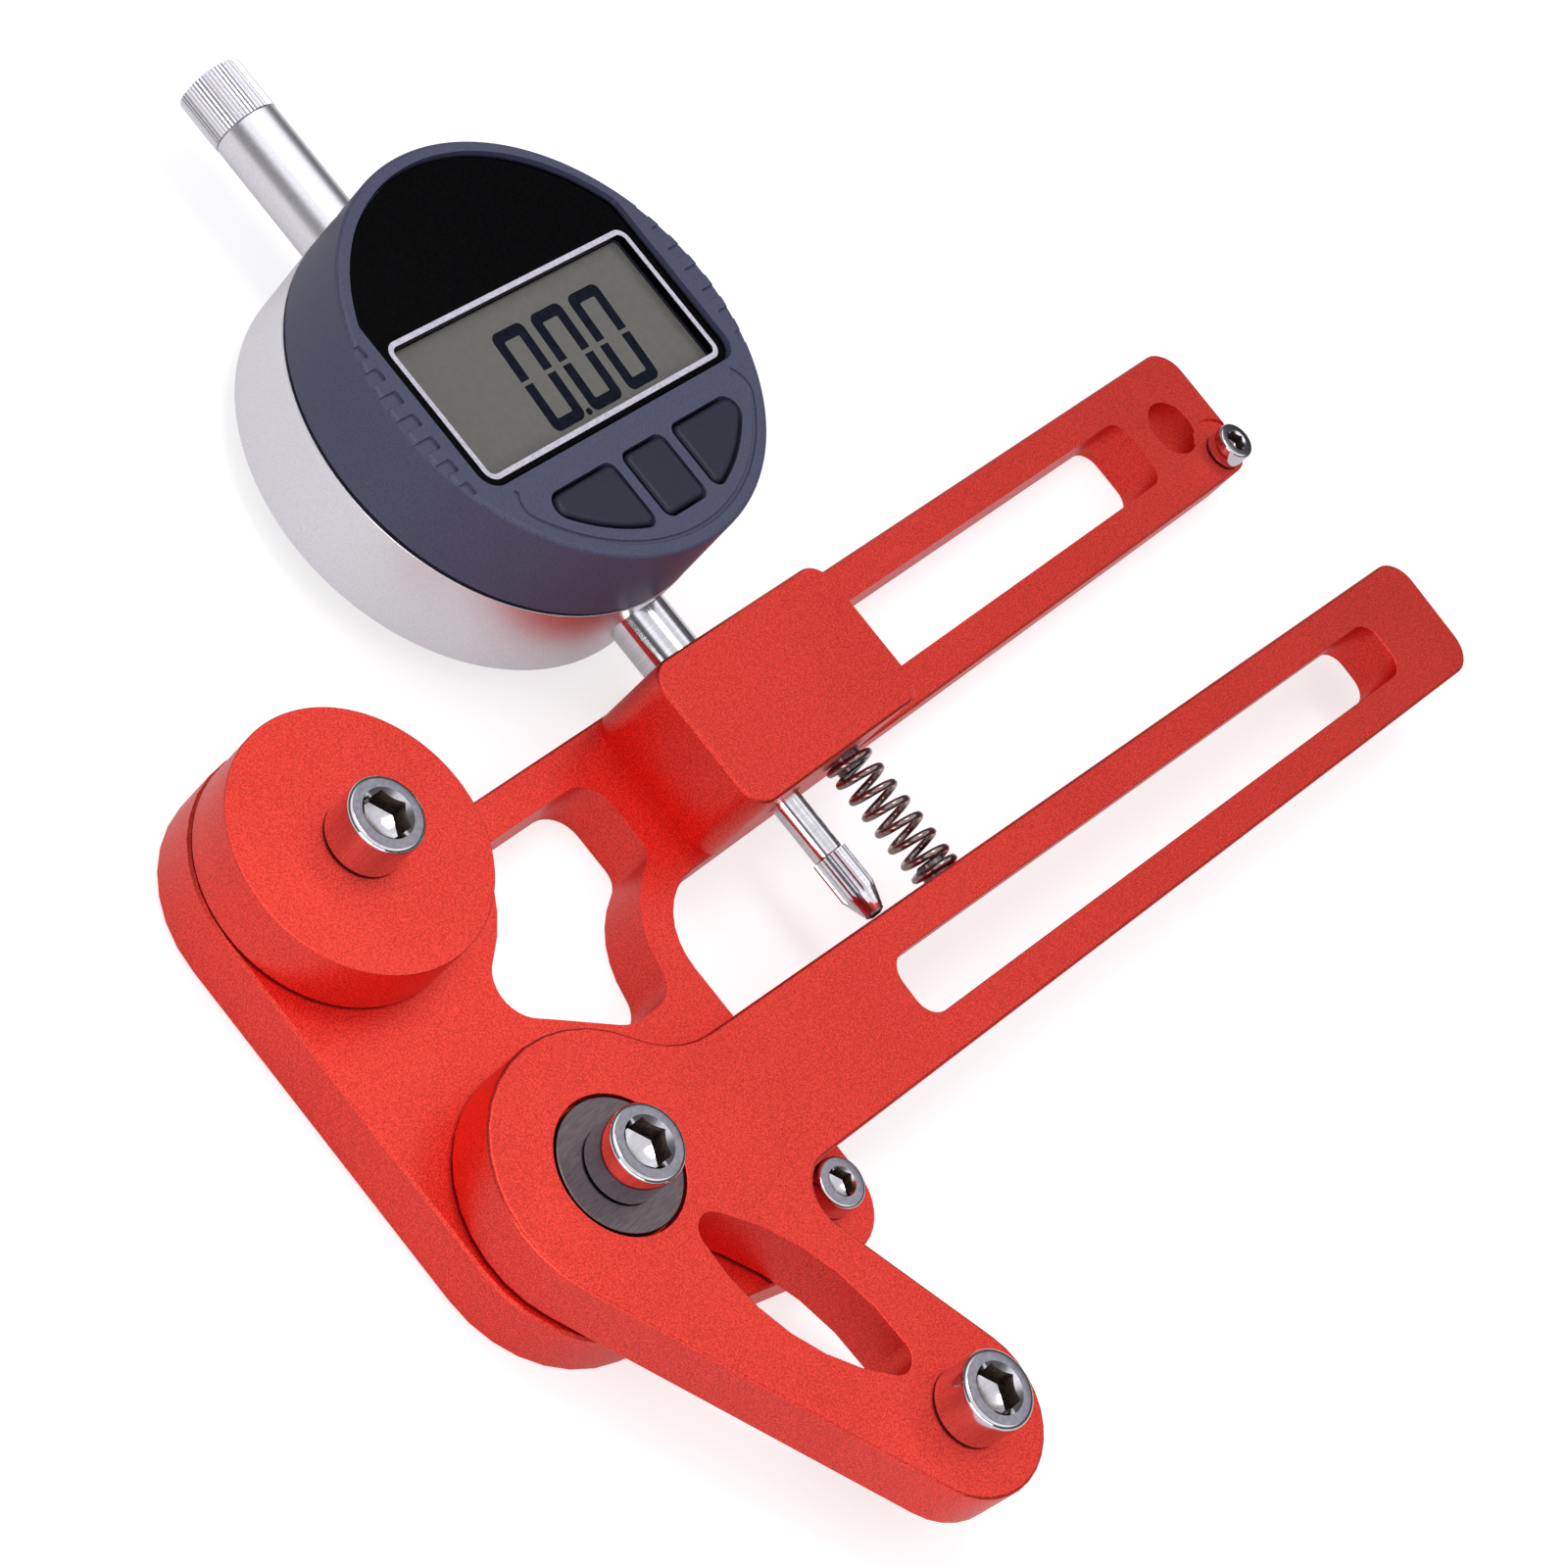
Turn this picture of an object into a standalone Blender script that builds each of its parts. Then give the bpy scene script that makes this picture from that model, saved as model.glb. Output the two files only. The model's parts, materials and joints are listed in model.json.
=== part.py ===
"""Spoke tension meter: two flat aluminium arms that pinch a bicycle spoke between three round posts,
and a digital plunger indicator that reads how far the squeezed arm has turned.

The frame: X runs along the rear arm, Y from the lower arm to the indicator, Z out of the rear plate's
back face. The origin is on the pivot's axis, at that back face. All sizes are in metres.
"""

import math

import bmesh
import bpy
from mathutils import Vector

# Shared clearances and fineness
SEAT_GAP = 0.0003
OVERRUN = 0.0020
EDGE_BREAK = 0.0003
DRILL_POINT = 0.0010
MERGE_DISTANCE = 0.0000001
TURN_SLACK = 0.000001
MILLIMETRES = 1000.0
FULL_TURN = 2.0 * math.pi
QUARTER_TURN = 0.5 * math.pi
ARC_STEP = math.radians(11.25)
SHARP_ANGLE = math.radians(30.0)
COARSE_STEPS = 16
MEDIUM_STEPS = 24
FINE_STEPS = 48

# Rear plate: one bar with two round ends, an ear for the stop screw and a raised block
PLATE_THICKNESS = 0.0080
POST_SPACING = 0.0450
REAR_ROUND = 0.01725
UPPER_ROUND = 0.0168
REAR_ARM_LOW = 0.0217
REAR_ARM_WIDTH = 0.02105
REAR_ARM_REACH = 0.1860
ARM_CORNER = 0.0044
EAR_REACH = 0.0350
EAR_DROP = 0.0248
EAR_CORNER = 0.0068
CROTCH_FILLET = 0.0095
HEEL_FILLET = 0.0015

# The window between the two round ends
WINDOW_REACH = 0.0407
WINDOW_BORDER = 0.00495
WINDOW_FLOOR = 0.0113
WINDOW_SOLE = 0.0233
WINDOW_POST_WALL = 0.02145
WINDOW_WEB = 0.0048
WINDOW_CORNER = 0.0044
WINDOW_HEEL = 0.0020
WINDOW_NOSE = 0.0048
WINDOW_SOLE_ROUND = 0.0060
WINDOW_TOE_ROUND = 0.00395
WINDOW_ELBOW = 0.0030

# Slot, hanging hole and end seat of the rear arm
REAR_SLOT_SETBACK = 0.0040
REAR_SLOT_INSET = 0.0200
REAR_SLOT_BORDER = 0.0053
REAR_SLOT_WIDTH = 0.0107
SLOT_CORNER = 0.0030
HANGING_HOLE_RADIUS = 0.00435
HANGING_HOLE_INSET = 0.0110
END_SCREW_INSET = 0.0045
END_SCREW_RISE = 0.0035
END_SEAT_RADIUS = 0.0055
END_SEAT_DEPTH = 0.0004

# Indicator block, raised from the rear plate
BLOCK_START = 0.0461
BLOCK_LENGTH = 0.0359
BLOCK_TOP = 0.0210
BLOCK_CORNER = 0.0034

# Spacer disc under the upper post
DISC_RADIUS = 0.0165

# Front plate: the squeezed arm, drawn straight and then turned to its rest angle
REST_ANGLE = math.radians(-2.55)
FRONT_ROUND = 0.0165
FRONT_ARM_ABOVE = 0.00625
FRONT_ARM_BELOW = 0.0125
FRONT_ARM_REACH = 0.1858
FRONT_SLOT_START = 0.0520
FRONT_SLOT_INSET = 0.0153
FRONT_SLOT_BORDER = 0.0052
FRONT_SLOT_WIDTH = 0.00855
SHOULDER_FILLET = 0.0126
NOTCH_FILLET = 0.0049
NOTCH_FILLET_X = 0.02495
LOWER_POST_X = 0.01955
LOWER_POST_DROP = 0.04425
LOWER_ROUND = 0.0106
LENS_END_RADIUS = 0.0024
LENS_LEFT_RADIUS = 0.0273
LENS_LEFT_X = 0.03015
LENS_LEFT_DROP = 0.0144
LENS_RIGHT_RADIUS = 0.0320
LENS_RIGHT_SETBACK = 0.0142
LENS_RIGHT_DROP = 0.0343

# Socket-head screws: M6 posts, the M4 stop of the squeezed plate and the M3 stop at the arm's end
POST_HEAD_RADIUS = 0.0048
POST_HEAD_HEIGHT = 0.0057
POST_SHANK_RADIUS = 0.0030
POST_SOCKET_WIDTH = 0.0050
POST_SOCKET_DEPTH = 0.0030
POST_CHAMFER = 0.0006
UPPER_SHANK_LENGTH = 0.0135
LOWER_SHANK_LENGTH = 0.0060
STOP_HEAD_RADIUS = 0.0033
STOP_HEAD_HEIGHT = 0.0031
STOP_SHANK_RADIUS = 0.0020
STOP_SHANK_LENGTH = 0.0055
STOP_SOCKET_WIDTH = 0.0030
STOP_SOCKET_DEPTH = 0.0015
STOP_CHAMFER = 0.0003
END_HEAD_RADIUS = 0.0029
END_HEAD_HEIGHT = 0.0030
END_SHANK_RADIUS = 0.0015
END_SOCKET_WIDTH = 0.0025
STOP_SCREW_X = 0.0287
STOP_SCREW_DROP = 0.0174

# Pivot bush with a flange that lies flush in the front plate, and the washer under that plate
FLANGE_RADIUS = 0.0081
FLANGE_THICKNESS = 0.0015
BUSH_RADIUS = 0.0050
WASHER_RADIUS = 0.0075
WASHER_THICKNESS = 0.0005

# Return spring and the two pins that it stands on
SPRING_INSET = 0.0270
SPRING_COIL_RADIUS = 0.0028
SPRING_WIRE_RADIUS = 0.0005
SPRING_ACTIVE_CURLS = 6
SPRING_CLOSED_CURLS = 1
SPRING_CLOSED_PITCH = 0.0014
SPRING_CURL_POINTS = 9
PIN_RADIUS = 0.0020
PIN_STAND = 0.0022
PIN_SINK = 0.0038

# Indicator: a 12.7 mm plunger indicator with a 58 mm body
INDICATOR_INSET = 0.0140
STEM_SHOW = 0.00745
AXLE_HEIGHT = 0.0118
CASE_RADIUS = 0.0296
CASE_BACK = 0.0035
CASE_FRONT = 0.0168
CASE_WALL = 0.0024
CASE_WEB = 0.0020
CASE_EDGE = 0.0003
SPIGOT_WALL = 0.0022
SPIGOT_HEIGHT = 0.0034
STEM_RADIUS = 0.0040
STEM_BLOCK_DEPTH = 0.0150
STEM_CASE_DEPTH = 0.0040
SPINDLE_RADIUS = 0.0020
TUBE_RADIUS = 0.00445
TUBE_WALL = 0.0012
TUBE_SHOW = 0.0173
TUBE_CASE_DEPTH = 0.0034
CAP_RADIUS = 0.00455
CAP_LENGTH = 0.0071
CAP_PLUG_LENGTH = 0.0020
CAP_FLUTE_DEPTH = 0.00022
CAP_FLUTES = 28
CLAMP_SCREW_RADIUS = 0.0020
CLAMP_SCREW_LENGTH = 0.0066
CLAMP_SOCKET_WIDTH = 0.0020
CLAMP_SOCKET_DEPTH = 0.0020

# Back of the indicator
COVER_THICKNESS = 0.0018
COVER_SCREW_INSET = 0.0036
COVER_SCREWS = 4
COVER_SCREW_HEAD_RADIUS = 0.0019
COVER_SCREW_HEAD_HEIGHT = 0.0009
COVER_SCREW_RADIUS = 0.0010
COVER_SCREW_LENGTH = 0.0050
BOSS_RADIUS = 0.0028
LID_RADIUS = 0.0107
LID_INSET = 0.0050
LID_SLOT_WIDTH = 0.0016
LID_SLOT_DEPTH = 0.0008
LID_SLOT_LENGTH = 0.0120
CELL_RADIUS = 0.0100
CELL_THICKNESS = 0.0032

# What the case holds
ROD_RADIUS = 0.0010
ROD_OFFSET_SHARE = 0.3125
ROD_SINK = 0.0008
BOARD_THICKNESS = 0.0008
BOARD_WIDTH_SHARE = 0.3676
BOARD_LENGTH_SHARE = 0.956
BOARD_OFFSET_SHARE = 0.3125
CARRIAGE_LENGTH_SHARE = 0.441
CARRIAGE_SETBACK_SHARE = 0.2574
CARRIAGE_MARGIN = 0.0022
CARRIAGE_DROP = 0.0025
CARRIAGE_RISE = 0.0027
SCALE_AIR = 0.0005
SCALE_THICKNESS = 0.0030
SPINDLE_TOP_INSET = 0.0167
SPINDLE_SPRING_RADIUS = 0.0027
SPINDLE_SPRING_WIRE = 0.00025
SPINDLE_SPRING_CURLS = 9

# Contact point at the spindle's lower end
TIP_RADIUS = 0.0013
TIP_BLUNT_RADIUS = 0.0006
TIP_LENGTH = 0.0007
CONE_LENGTH = 0.0033
CONE_END_RADIUS = 0.0015
FLUTED_LENGTH = 0.0046
CONTACT_RADIUS = 0.0024
CONTACT_FLUTES = 14
CONTACT_FLUTE_DEPTH = 0.0002
STUB_RADIUS = 0.0011
STUB_LENGTH = 0.0020

# Bezel: the turning face with its window and three buttons
BEZEL_FRONT = 0.0297
BEZEL_STEP = 0.00005
BEZEL_DRAFT = 0.0002
BEZEL_WALL = 0.0028
BEZEL_FACE = 0.0032
BEZEL_EDGE = 0.0006
BEZEL_ROUND_SHARE = 0.3
LEDGE_WIDTH = 0.0020
CLIP_RING_RADIUS = 0.00045
CLIP_RING_HEIGHT = 0.0018
CLIP_RING_OPENING = math.radians(20.0)
GLASS_BORDER = 0.00215
GLASS_FLANK = 0.00305
GLASS_CUT = 0.0162
GLASS_CORNER = 0.0024
GLASS_SHOULDER = 0.0015
GLASS_THICKNESS = 0.0012
GLASS_RECESS = 0.0007
LCD_SIDE_BORDER = 0.0022
LCD_LOW_BORDER = 0.00145
LCD_LIFT = 0.00095
LCD_CORNER = 0.0008
LCD_THICKNESS = 0.0030
MAIN_BOARD_THICKNESS = 0.0012
MAT_THICKNESS = 0.0010
MAT_LOW_SHARE = 0.9024
MAT_LEAD = 0.0017
MAT_WIDTH_SHARE = 0.5081
MAT_CORNER = 0.0040
BUTTON_PROUD = 0.0003
BUTTON_TRAVEL = 0.0004
BUTTON_MARGIN = 0.0043
BUTTON_CORNER = 0.0010
BUTTON_HEEL = 0.0016
POWER_HALF_WIDTH = 0.0037
POWER_INSET = 0.0052
SIDE_BUTTON_NEAR = 0.0062
SIDE_BUTTON_INSET = 0.0044
GRIP_INSET = 0.0032
GRIP_PITCH = 0.0033
GRIP_WIDTH = 0.0015
GRIP_DEPTH = 0.0007
GRIPS = 9

# Places worked out from the sizes above
FRONT_LOW = PLATE_THICKNESS + SEAT_GAP
FRONT_TOP = FRONT_LOW + PLATE_THICKNESS
REAR_ARM_HIGH = REAR_ARM_LOW + REAR_ARM_WIDTH
BLOCK_END = BLOCK_START + BLOCK_LENGTH
REAR_SLOT_START = BLOCK_END + REAR_SLOT_SETBACK
REAR_SLOT_END = REAR_ARM_REACH - REAR_SLOT_INSET
FRONT_SLOT_END = FRONT_ARM_REACH - FRONT_SLOT_INSET
SPRING_X = BLOCK_START + SPRING_INSET
INDICATOR_X = BLOCK_START + INDICATOR_INSET
INDICATOR_Y = REAR_ARM_HIGH + STEM_SHOW + CASE_RADIUS
TUBE_END = INDICATOR_Y + CASE_RADIUS + TUBE_SHOW
CAP_END = TUBE_END + CAP_LENGTH
SPINDLE_TOP = TUBE_END - SPINDLE_TOP_INSET
PIVOT = Vector((0.0, 0.0, 0.0))
UPPER_POST = Vector((0.0, POST_SPACING, 0.0))
LOWER_POST = Vector((LOWER_POST_X, -LOWER_POST_DROP, 0.0))
STOP_SCREW = Vector((STOP_SCREW_X, -STOP_SCREW_DROP, 0.0))
END_SCREW = Vector((REAR_ARM_REACH - END_SCREW_INSET, REAR_ARM_LOW + END_SCREW_RISE, 0.0))
INDICATOR = Vector((INDICATOR_X, INDICATOR_Y, 0.0))
AXLE = Vector((INDICATOR_X, 0.0, AXLE_HEIGHT))
CASE_BORE = CASE_RADIUS - CASE_WALL
ROD_OFFSET = ROD_OFFSET_SHARE * CASE_BORE
SENSOR_BOARD_WIDTH = BOARD_WIDTH_SHARE * CASE_BORE
SENSOR_BOARD_LENGTH = BOARD_LENGTH_SHARE * CASE_BORE
SENSOR_BOARD_OFFSET = BOARD_OFFSET_SHARE * CASE_BORE
CARRIAGE_LENGTH = CARRIAGE_LENGTH_SHARE * CASE_BORE
CARRIAGE_REST = INDICATOR_Y - CARRIAGE_SETBACK_SHARE * CASE_BORE
COVER_SCREW_RING = CASE_BORE - COVER_SCREW_INSET
LID_OFFSET = CASE_BORE - LID_INSET - LID_RADIUS
BEZEL_RADIUS = CASE_RADIUS - BEZEL_STEP
BEZEL_BORE = BEZEL_RADIUS - BEZEL_WALL
SPIGOT_RADIUS = BEZEL_BORE - SEAT_GAP
LEDGE_BORE = BEZEL_BORE - LEDGE_WIDTH
GLASS_RADIUS = BEZEL_RADIUS - GLASS_BORDER
GLASS_HALF_WIDTH = GLASS_RADIUS - GLASS_FLANK
GLASS_DROP = GLASS_RADIUS - GLASS_CUT
LCD_HALF_WIDTH = GLASS_HALF_WIDTH - LCD_SIDE_BORDER
LCD_LOW = GLASS_DROP - LCD_LOW_BORDER
LCD_HIGH = LCD_LOW - LCD_LIFT
MAT_LOW = MAT_LOW_SHARE * LEDGE_BORE
MAT_HIGH = GLASS_DROP + MAT_LEAD
MAT_HALF_WIDTH = MAT_WIDTH_SHARE * LEDGE_BORE
BUTTON_TOP = GLASS_DROP + BUTTON_MARGIN
POWER_LOW = BEZEL_RADIUS - POWER_INSET
SIDE_BUTTON_SWEEP = BEZEL_RADIUS - SIDE_BUTTON_INSET
GRIP_CHORD = BEZEL_RADIUS - GRIP_INSET
BEZEL_BASE = CASE_FRONT + SEAT_GAP
CLIP_LEVEL = BEZEL_BASE + CLIP_RING_HEIGHT
CLIP_CENTRE = 0.5 * (SPIGOT_RADIUS + BEZEL_BORE)
CLIP_GROOVE = CLIP_RING_RADIUS + SEAT_GAP
COVER_TOP = CASE_BACK + COVER_THICKNESS
GLASS_TOP = BEZEL_FRONT - GLASS_RECESS
GLASS_LOW = GLASS_TOP - GLASS_THICKNESS
FACE_LOW = BEZEL_FRONT - BEZEL_FACE
LCD_TOP = GLASS_LOW - SEAT_GAP
MAIN_BOARD_TOP = LCD_TOP - LCD_THICKNESS - SEAT_GAP
STEM_LOW = REAR_ARM_HIGH - STEM_BLOCK_DEPTH
STEM_HIGH = INDICATOR_Y - CASE_RADIUS + STEM_CASE_DEPTH
TUBE_LOW = INDICATOR_Y + CASE_RADIUS - TUBE_CASE_DEPTH
TUBE_BORE = TUBE_RADIUS - TUBE_WALL
ARM_EDGE_AT_TIP = INDICATOR_X * math.tan(REST_ANGLE) + FRONT_ARM_ABOVE / math.cos(REST_ANGLE)
TIP_END = ARM_EDGE_AT_TIP + SEAT_GAP
CONE_END = TIP_END + TIP_LENGTH + SEAT_GAP
CONTACT_SHOULDER = CONE_END + CONE_LENGTH
CONTACT_TOP = CONTACT_SHOULDER + FLUTED_LENGTH
PIN_SEAT_X = (SPRING_X + FRONT_ARM_ABOVE * math.sin(REST_ANGLE)) / math.cos(REST_ANGLE)
PIN_SEAT_Y = PIN_SEAT_X * math.sin(REST_ANGLE) + FRONT_ARM_ABOVE * math.cos(REST_ANGLE)
LEFT_HALF = -1
RIGHT_HALF = 1

COLOURS = {
    "red_anodised": ("#C8322D", 0.42, 0.55),
    "polished_steel": ("#C9CACD", 0.22, 1.0),
    "dark_steel": ("#5A565C", 0.35, 1.0),
    "spring_steel": ("#5B5350", 0.30, 1.0),
    "satin_metal": ("#C4C0C2", 0.34, 1.0),
    "slate_plastic": ("#50526A", 0.48, 0.0),
    "dark_plastic": ("#37394B", 0.50, 0.0),
    "black_acrylic": ("#0B0A0E", 0.12, 0.0),
    "lcd_glass": ("#64625C", 0.30, 0.0),
    "circuit_laminate": ("#1F5A34", 0.45, 0.0),
    "rubber": ("#2A2A2C", 0.70, 0.0),
    "white_nylon": ("#D9D6CC", 0.55, 0.0),
}


def linear(channel):
    """One sRGB channel, 0 to 1, as linear light."""
    if channel <= 0.04045:
        return channel / 12.92
    return ((channel + 0.055) / 1.055) ** 2.4


def material(name):
    """The named finish, made once and then shared."""
    found = bpy.data.materials.get(name)
    if found:
        return found
    colour, roughness, metallic = COLOURS[name]
    made = bpy.data.materials.new(name)
    made.use_nodes = True
    shader = made.node_tree.nodes["Principled BSDF"]
    channels = [int(colour[i:i + 2], 16) / 255.0 for i in (1, 3, 5)]
    shader.inputs["Base Color"].default_value = [linear(c) for c in channels] + [1.0]
    shader.inputs["Roughness"].default_value = roughness
    shader.inputs["Metallic"].default_value = metallic
    return made


def add_object(name, mesh_builder, finish, place=PIVOT, turn=(0.0, 0.0, 0.0), parent=None):
    """Make one object from a filled bmesh, smooth on its round faces and sharp at its edges."""
    mesh = bpy.data.meshes.new(name)
    mesh_builder.to_mesh(mesh)
    mesh_builder.free()
    mesh.shade_smooth()
    mesh.set_sharp_from_angle(angle=SHARP_ANGLE)
    made = bpy.data.objects.new(name, mesh)
    bpy.context.scene.collection.objects.link(made)
    made.location = place
    made.rotation_euler = turn
    made.parent = parent
    if finish:
        mesh.materials.append(material(finish))
    return made


def add_empty(name, place, turn=(0.0, 0.0, 0.0)):
    """A bare axis that moving pieces hang on."""
    made = bpy.data.objects.new(name, None)
    bpy.context.scene.collection.objects.link(made)
    made.location = place
    made.rotation_euler = turn
    made.empty_display_size = PLATE_THICKNESS
    return made


def combine(body, tool, operation):
    """Join a tool to a body, or cut it out, and keep the tool as a hidden guide."""
    tool.hide_render = True
    tool.display_type = "WIRE"
    modifier = body.modifiers.new(tool.name, "BOOLEAN")
    modifier.operation = operation
    modifier.solver = "EXACT"
    modifier.object = tool


def cut(body, tool):
    combine(body, tool, "DIFFERENCE")


def join(body, tool):
    combine(body, tool, "UNION")


def disc(x, y, radius, side=1):
    """One round of an outline: side 1 bulges out of it, side -1 bites into it."""
    return (Vector((x, y)), radius, side)


def belt(rounds, inset=0.0):
    """Outline points, anticlockwise, of a belt that runs straight from each round to the next."""
    sized = [(centre, radius - side * inset, side) for centre, radius, side in rounds]
    headings = []
    for index, (centre, radius, side) in enumerate(sized):
        next_centre, next_radius, next_side = sized[(index + 1) % len(sized)]
        run = next_centre - centre
        lean = (next_side * next_radius - side * radius) / run.length
        headings.append(math.atan2(run.y, run.x) - math.asin(max(-1.0, min(1.0, lean))))
    points = []
    for index, (centre, radius, side) in enumerate(sized):
        start = headings[index - 1]
        turn = (headings[index] - start) % FULL_TURN
        if side < 0:
            turn -= FULL_TURN
        steps = max(1, math.ceil(abs(turn) / ARC_STEP - TURN_SLACK))
        for step in range(steps + 1):
            heading = start + turn * step / steps
            out = Vector((math.sin(heading), -math.cos(heading)))
            points.append(centre + side * radius * out)
    return points


def touching(first, first_reach, second, second_reach, side):
    """The point at two given reaches from two centres, left (1) or right (-1) of the line between them."""
    run = second - first
    along = (first_reach ** 2 - second_reach ** 2 + run.length_squared) / (2.0 * run.length)
    across = math.sqrt(first_reach ** 2 - along ** 2)
    ahead = run.normalized()
    return first + along * ahead + side * across * Vector((-ahead.y, ahead.x))


def level_with(y, centre, reach, side):
    """The point at height y and a given reach from a centre, on its +X or -X side."""
    return Vector((centre.x + side * math.sqrt(reach ** 2 - (y - centre.y) ** 2), y))


def plumb_with(x, centre, reach, side):
    """The point at a given x and reach from a centre, on its +Y or -Y side."""
    return Vector((x, centre.y + side * math.sqrt(reach ** 2 - (x - centre.x) ** 2)))


def prism(rounds, levels):
    """A bmesh through the same outline at rising heights, each with its own inset."""
    shape = bmesh.new()
    rings = []
    for height, inset in levels:
        rings.append([shape.verts.new((p.x, p.y, height)) for p in belt(rounds, inset)])
    shape.faces.new(reversed(rings[0]))
    shape.faces.new(rings[-1])
    for lower, upper in zip(rings, rings[1:]):
        for index in range(len(lower)):
            after = (index + 1) % len(lower)
            shape.faces.new((lower[index], lower[after], upper[after], upper[index]))
    bmesh.ops.remove_doubles(shape, verts=shape.verts, dist=MERGE_DISTANCE)
    return shape


def edged(low, high):
    """Heights and insets of a slab whose two rims are chamfered."""
    low_rim = [(low, EDGE_BREAK), (low + EDGE_BREAK, 0.0)]
    return low_rim + [(high - EDGE_BREAK, 0.0), (high, EDGE_BREAK)]


def plain(low, high):
    return [(low, 0.0), (high, 0.0)]


def turned(profile, steps):
    """A bmesh turned about Z from (radius, height) points, listed from the top down the outside."""
    shape = bmesh.new()
    points = [shape.verts.new((radius, 0.0, height)) for radius, height in profile]
    edges = [shape.edges.new(pair) for pair in zip(points, points[1:])]
    if profile[0][0] > 0.0:
        edges.append(shape.edges.new((points[-1], points[0])))
    bmesh.ops.spin(shape, geom=points + edges, cent=(0.0, 0.0, 0.0), axis=(0.0, 0.0, 1.0),
                   angle=FULL_TURN, steps=steps, use_merge=True)
    bmesh.ops.remove_doubles(shape, verts=shape.verts, dist=MERGE_DISTANCE)
    bmesh.ops.recalc_face_normals(shape, faces=shape.faces)
    return shape


def rod(radius, low, high, steps=COARSE_STEPS, chamfer=0.0):
    """A turned bar from low to high, with both ends chamfered when a chamfer is given."""
    profile = [(0.0, high), (radius - chamfer, high)]
    if chamfer:
        profile += [(radius, high - chamfer), (radius, low + chamfer)]
    profile += [(radius - chamfer, low), (0.0, low)]
    return turned(profile, steps)


def tube(radius, bore, low, high, steps=MEDIUM_STEPS):
    """A turned sleeve."""
    return turned([(bore, high), (radius, high), (radius, low), (bore, low)], steps)


def hexagon(width, low, high):
    """A hexagonal bar, its width across flats."""
    return turned([(0.0, high), (width / math.sqrt(3.0), high), (width / math.sqrt(3.0), low), (0.0, low)], 6)


def box(low_corner, high_corner):
    """A block between two corners."""
    shape = bmesh.new()
    bmesh.ops.create_cube(shape, size=1.0)
    low = Vector(low_corner)
    size = Vector(high_corner) - low
    bmesh.ops.scale(shape, vec=size, verts=shape.verts)
    bmesh.ops.translate(shape, vec=low + size * 0.5, verts=shape.verts)
    return shape


def star_prism(radius, flute_depth, flutes, low, high):
    """A bar with fine flutes along it."""
    shape = bmesh.new()
    rings = []
    for height in (low, high):
        ring = []
        for index in range(2 * flutes):
            reach = radius - flute_depth * (index % 2)
            angle = FULL_TURN * index / (2 * flutes)
            ring.append(shape.verts.new((reach * math.cos(angle), reach * math.sin(angle), height)))
        rings.append(ring)
    shape.faces.new(reversed(rings[0]))
    shape.faces.new(rings[1])
    for index in range(2 * flutes):
        after = (index + 1) % (2 * flutes)
        shape.faces.new((rings[0][index], rings[0][after], rings[1][after], rings[1][index]))
    return shape


def slot(name, start, end, low, high, corner, floor, top, parent=None):
    """A cutter for a straight slot with four rounded corners."""
    rounds = [disc(start + corner, low + corner, corner), disc(end - corner, low + corner, corner),
              disc(end - corner, high - corner, corner), disc(start + corner, high - corner, corner)]
    return add_object(name, prism(rounds, plain(floor, top)), None, parent=parent)


def hole(name, centre, radius, floor, top, steps=MEDIUM_STEPS, parent=None):
    """A cutter for a round hole along Z."""
    return add_object(name, rod(radius, floor, top, steps), None, centre, parent=parent)


def cross_hole(name, centre, radius, start, end, steps=MEDIUM_STEPS):
    """A cutter for a round hole along Y, through a centre given at Y zero."""
    return add_object(name, rod(radius, start, end, steps), None, centre, (-QUARTER_TURN, 0.0, 0.0))


def rear_plate_rounds():
    """Outline of the rear plate, from the pivot round anticlockwise."""
    crotch = Vector((EAR_REACH + CROTCH_FILLET, REAR_ARM_LOW - CROTCH_FILLET))
    heel_level = REAR_ARM_HIGH + HEEL_FILLET
    heel = level_with(heel_level, UPPER_POST, UPPER_ROUND + HEEL_FILLET, RIGHT_HALF)
    return [
        disc(PIVOT.x, PIVOT.y, REAR_ROUND),
        disc(EAR_REACH - EAR_CORNER, EAR_CORNER - EAR_DROP, EAR_CORNER),
        disc(crotch.x, crotch.y, CROTCH_FILLET, -1),
        disc(REAR_ARM_REACH - ARM_CORNER, REAR_ARM_LOW + ARM_CORNER, ARM_CORNER),
        disc(REAR_ARM_REACH - ARM_CORNER, REAR_ARM_HIGH - ARM_CORNER, ARM_CORNER),
        disc(heel.x, heel.y, HEEL_FILLET, -1),
        disc(UPPER_POST.x, UPPER_POST.y, UPPER_ROUND),
    ]


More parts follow.
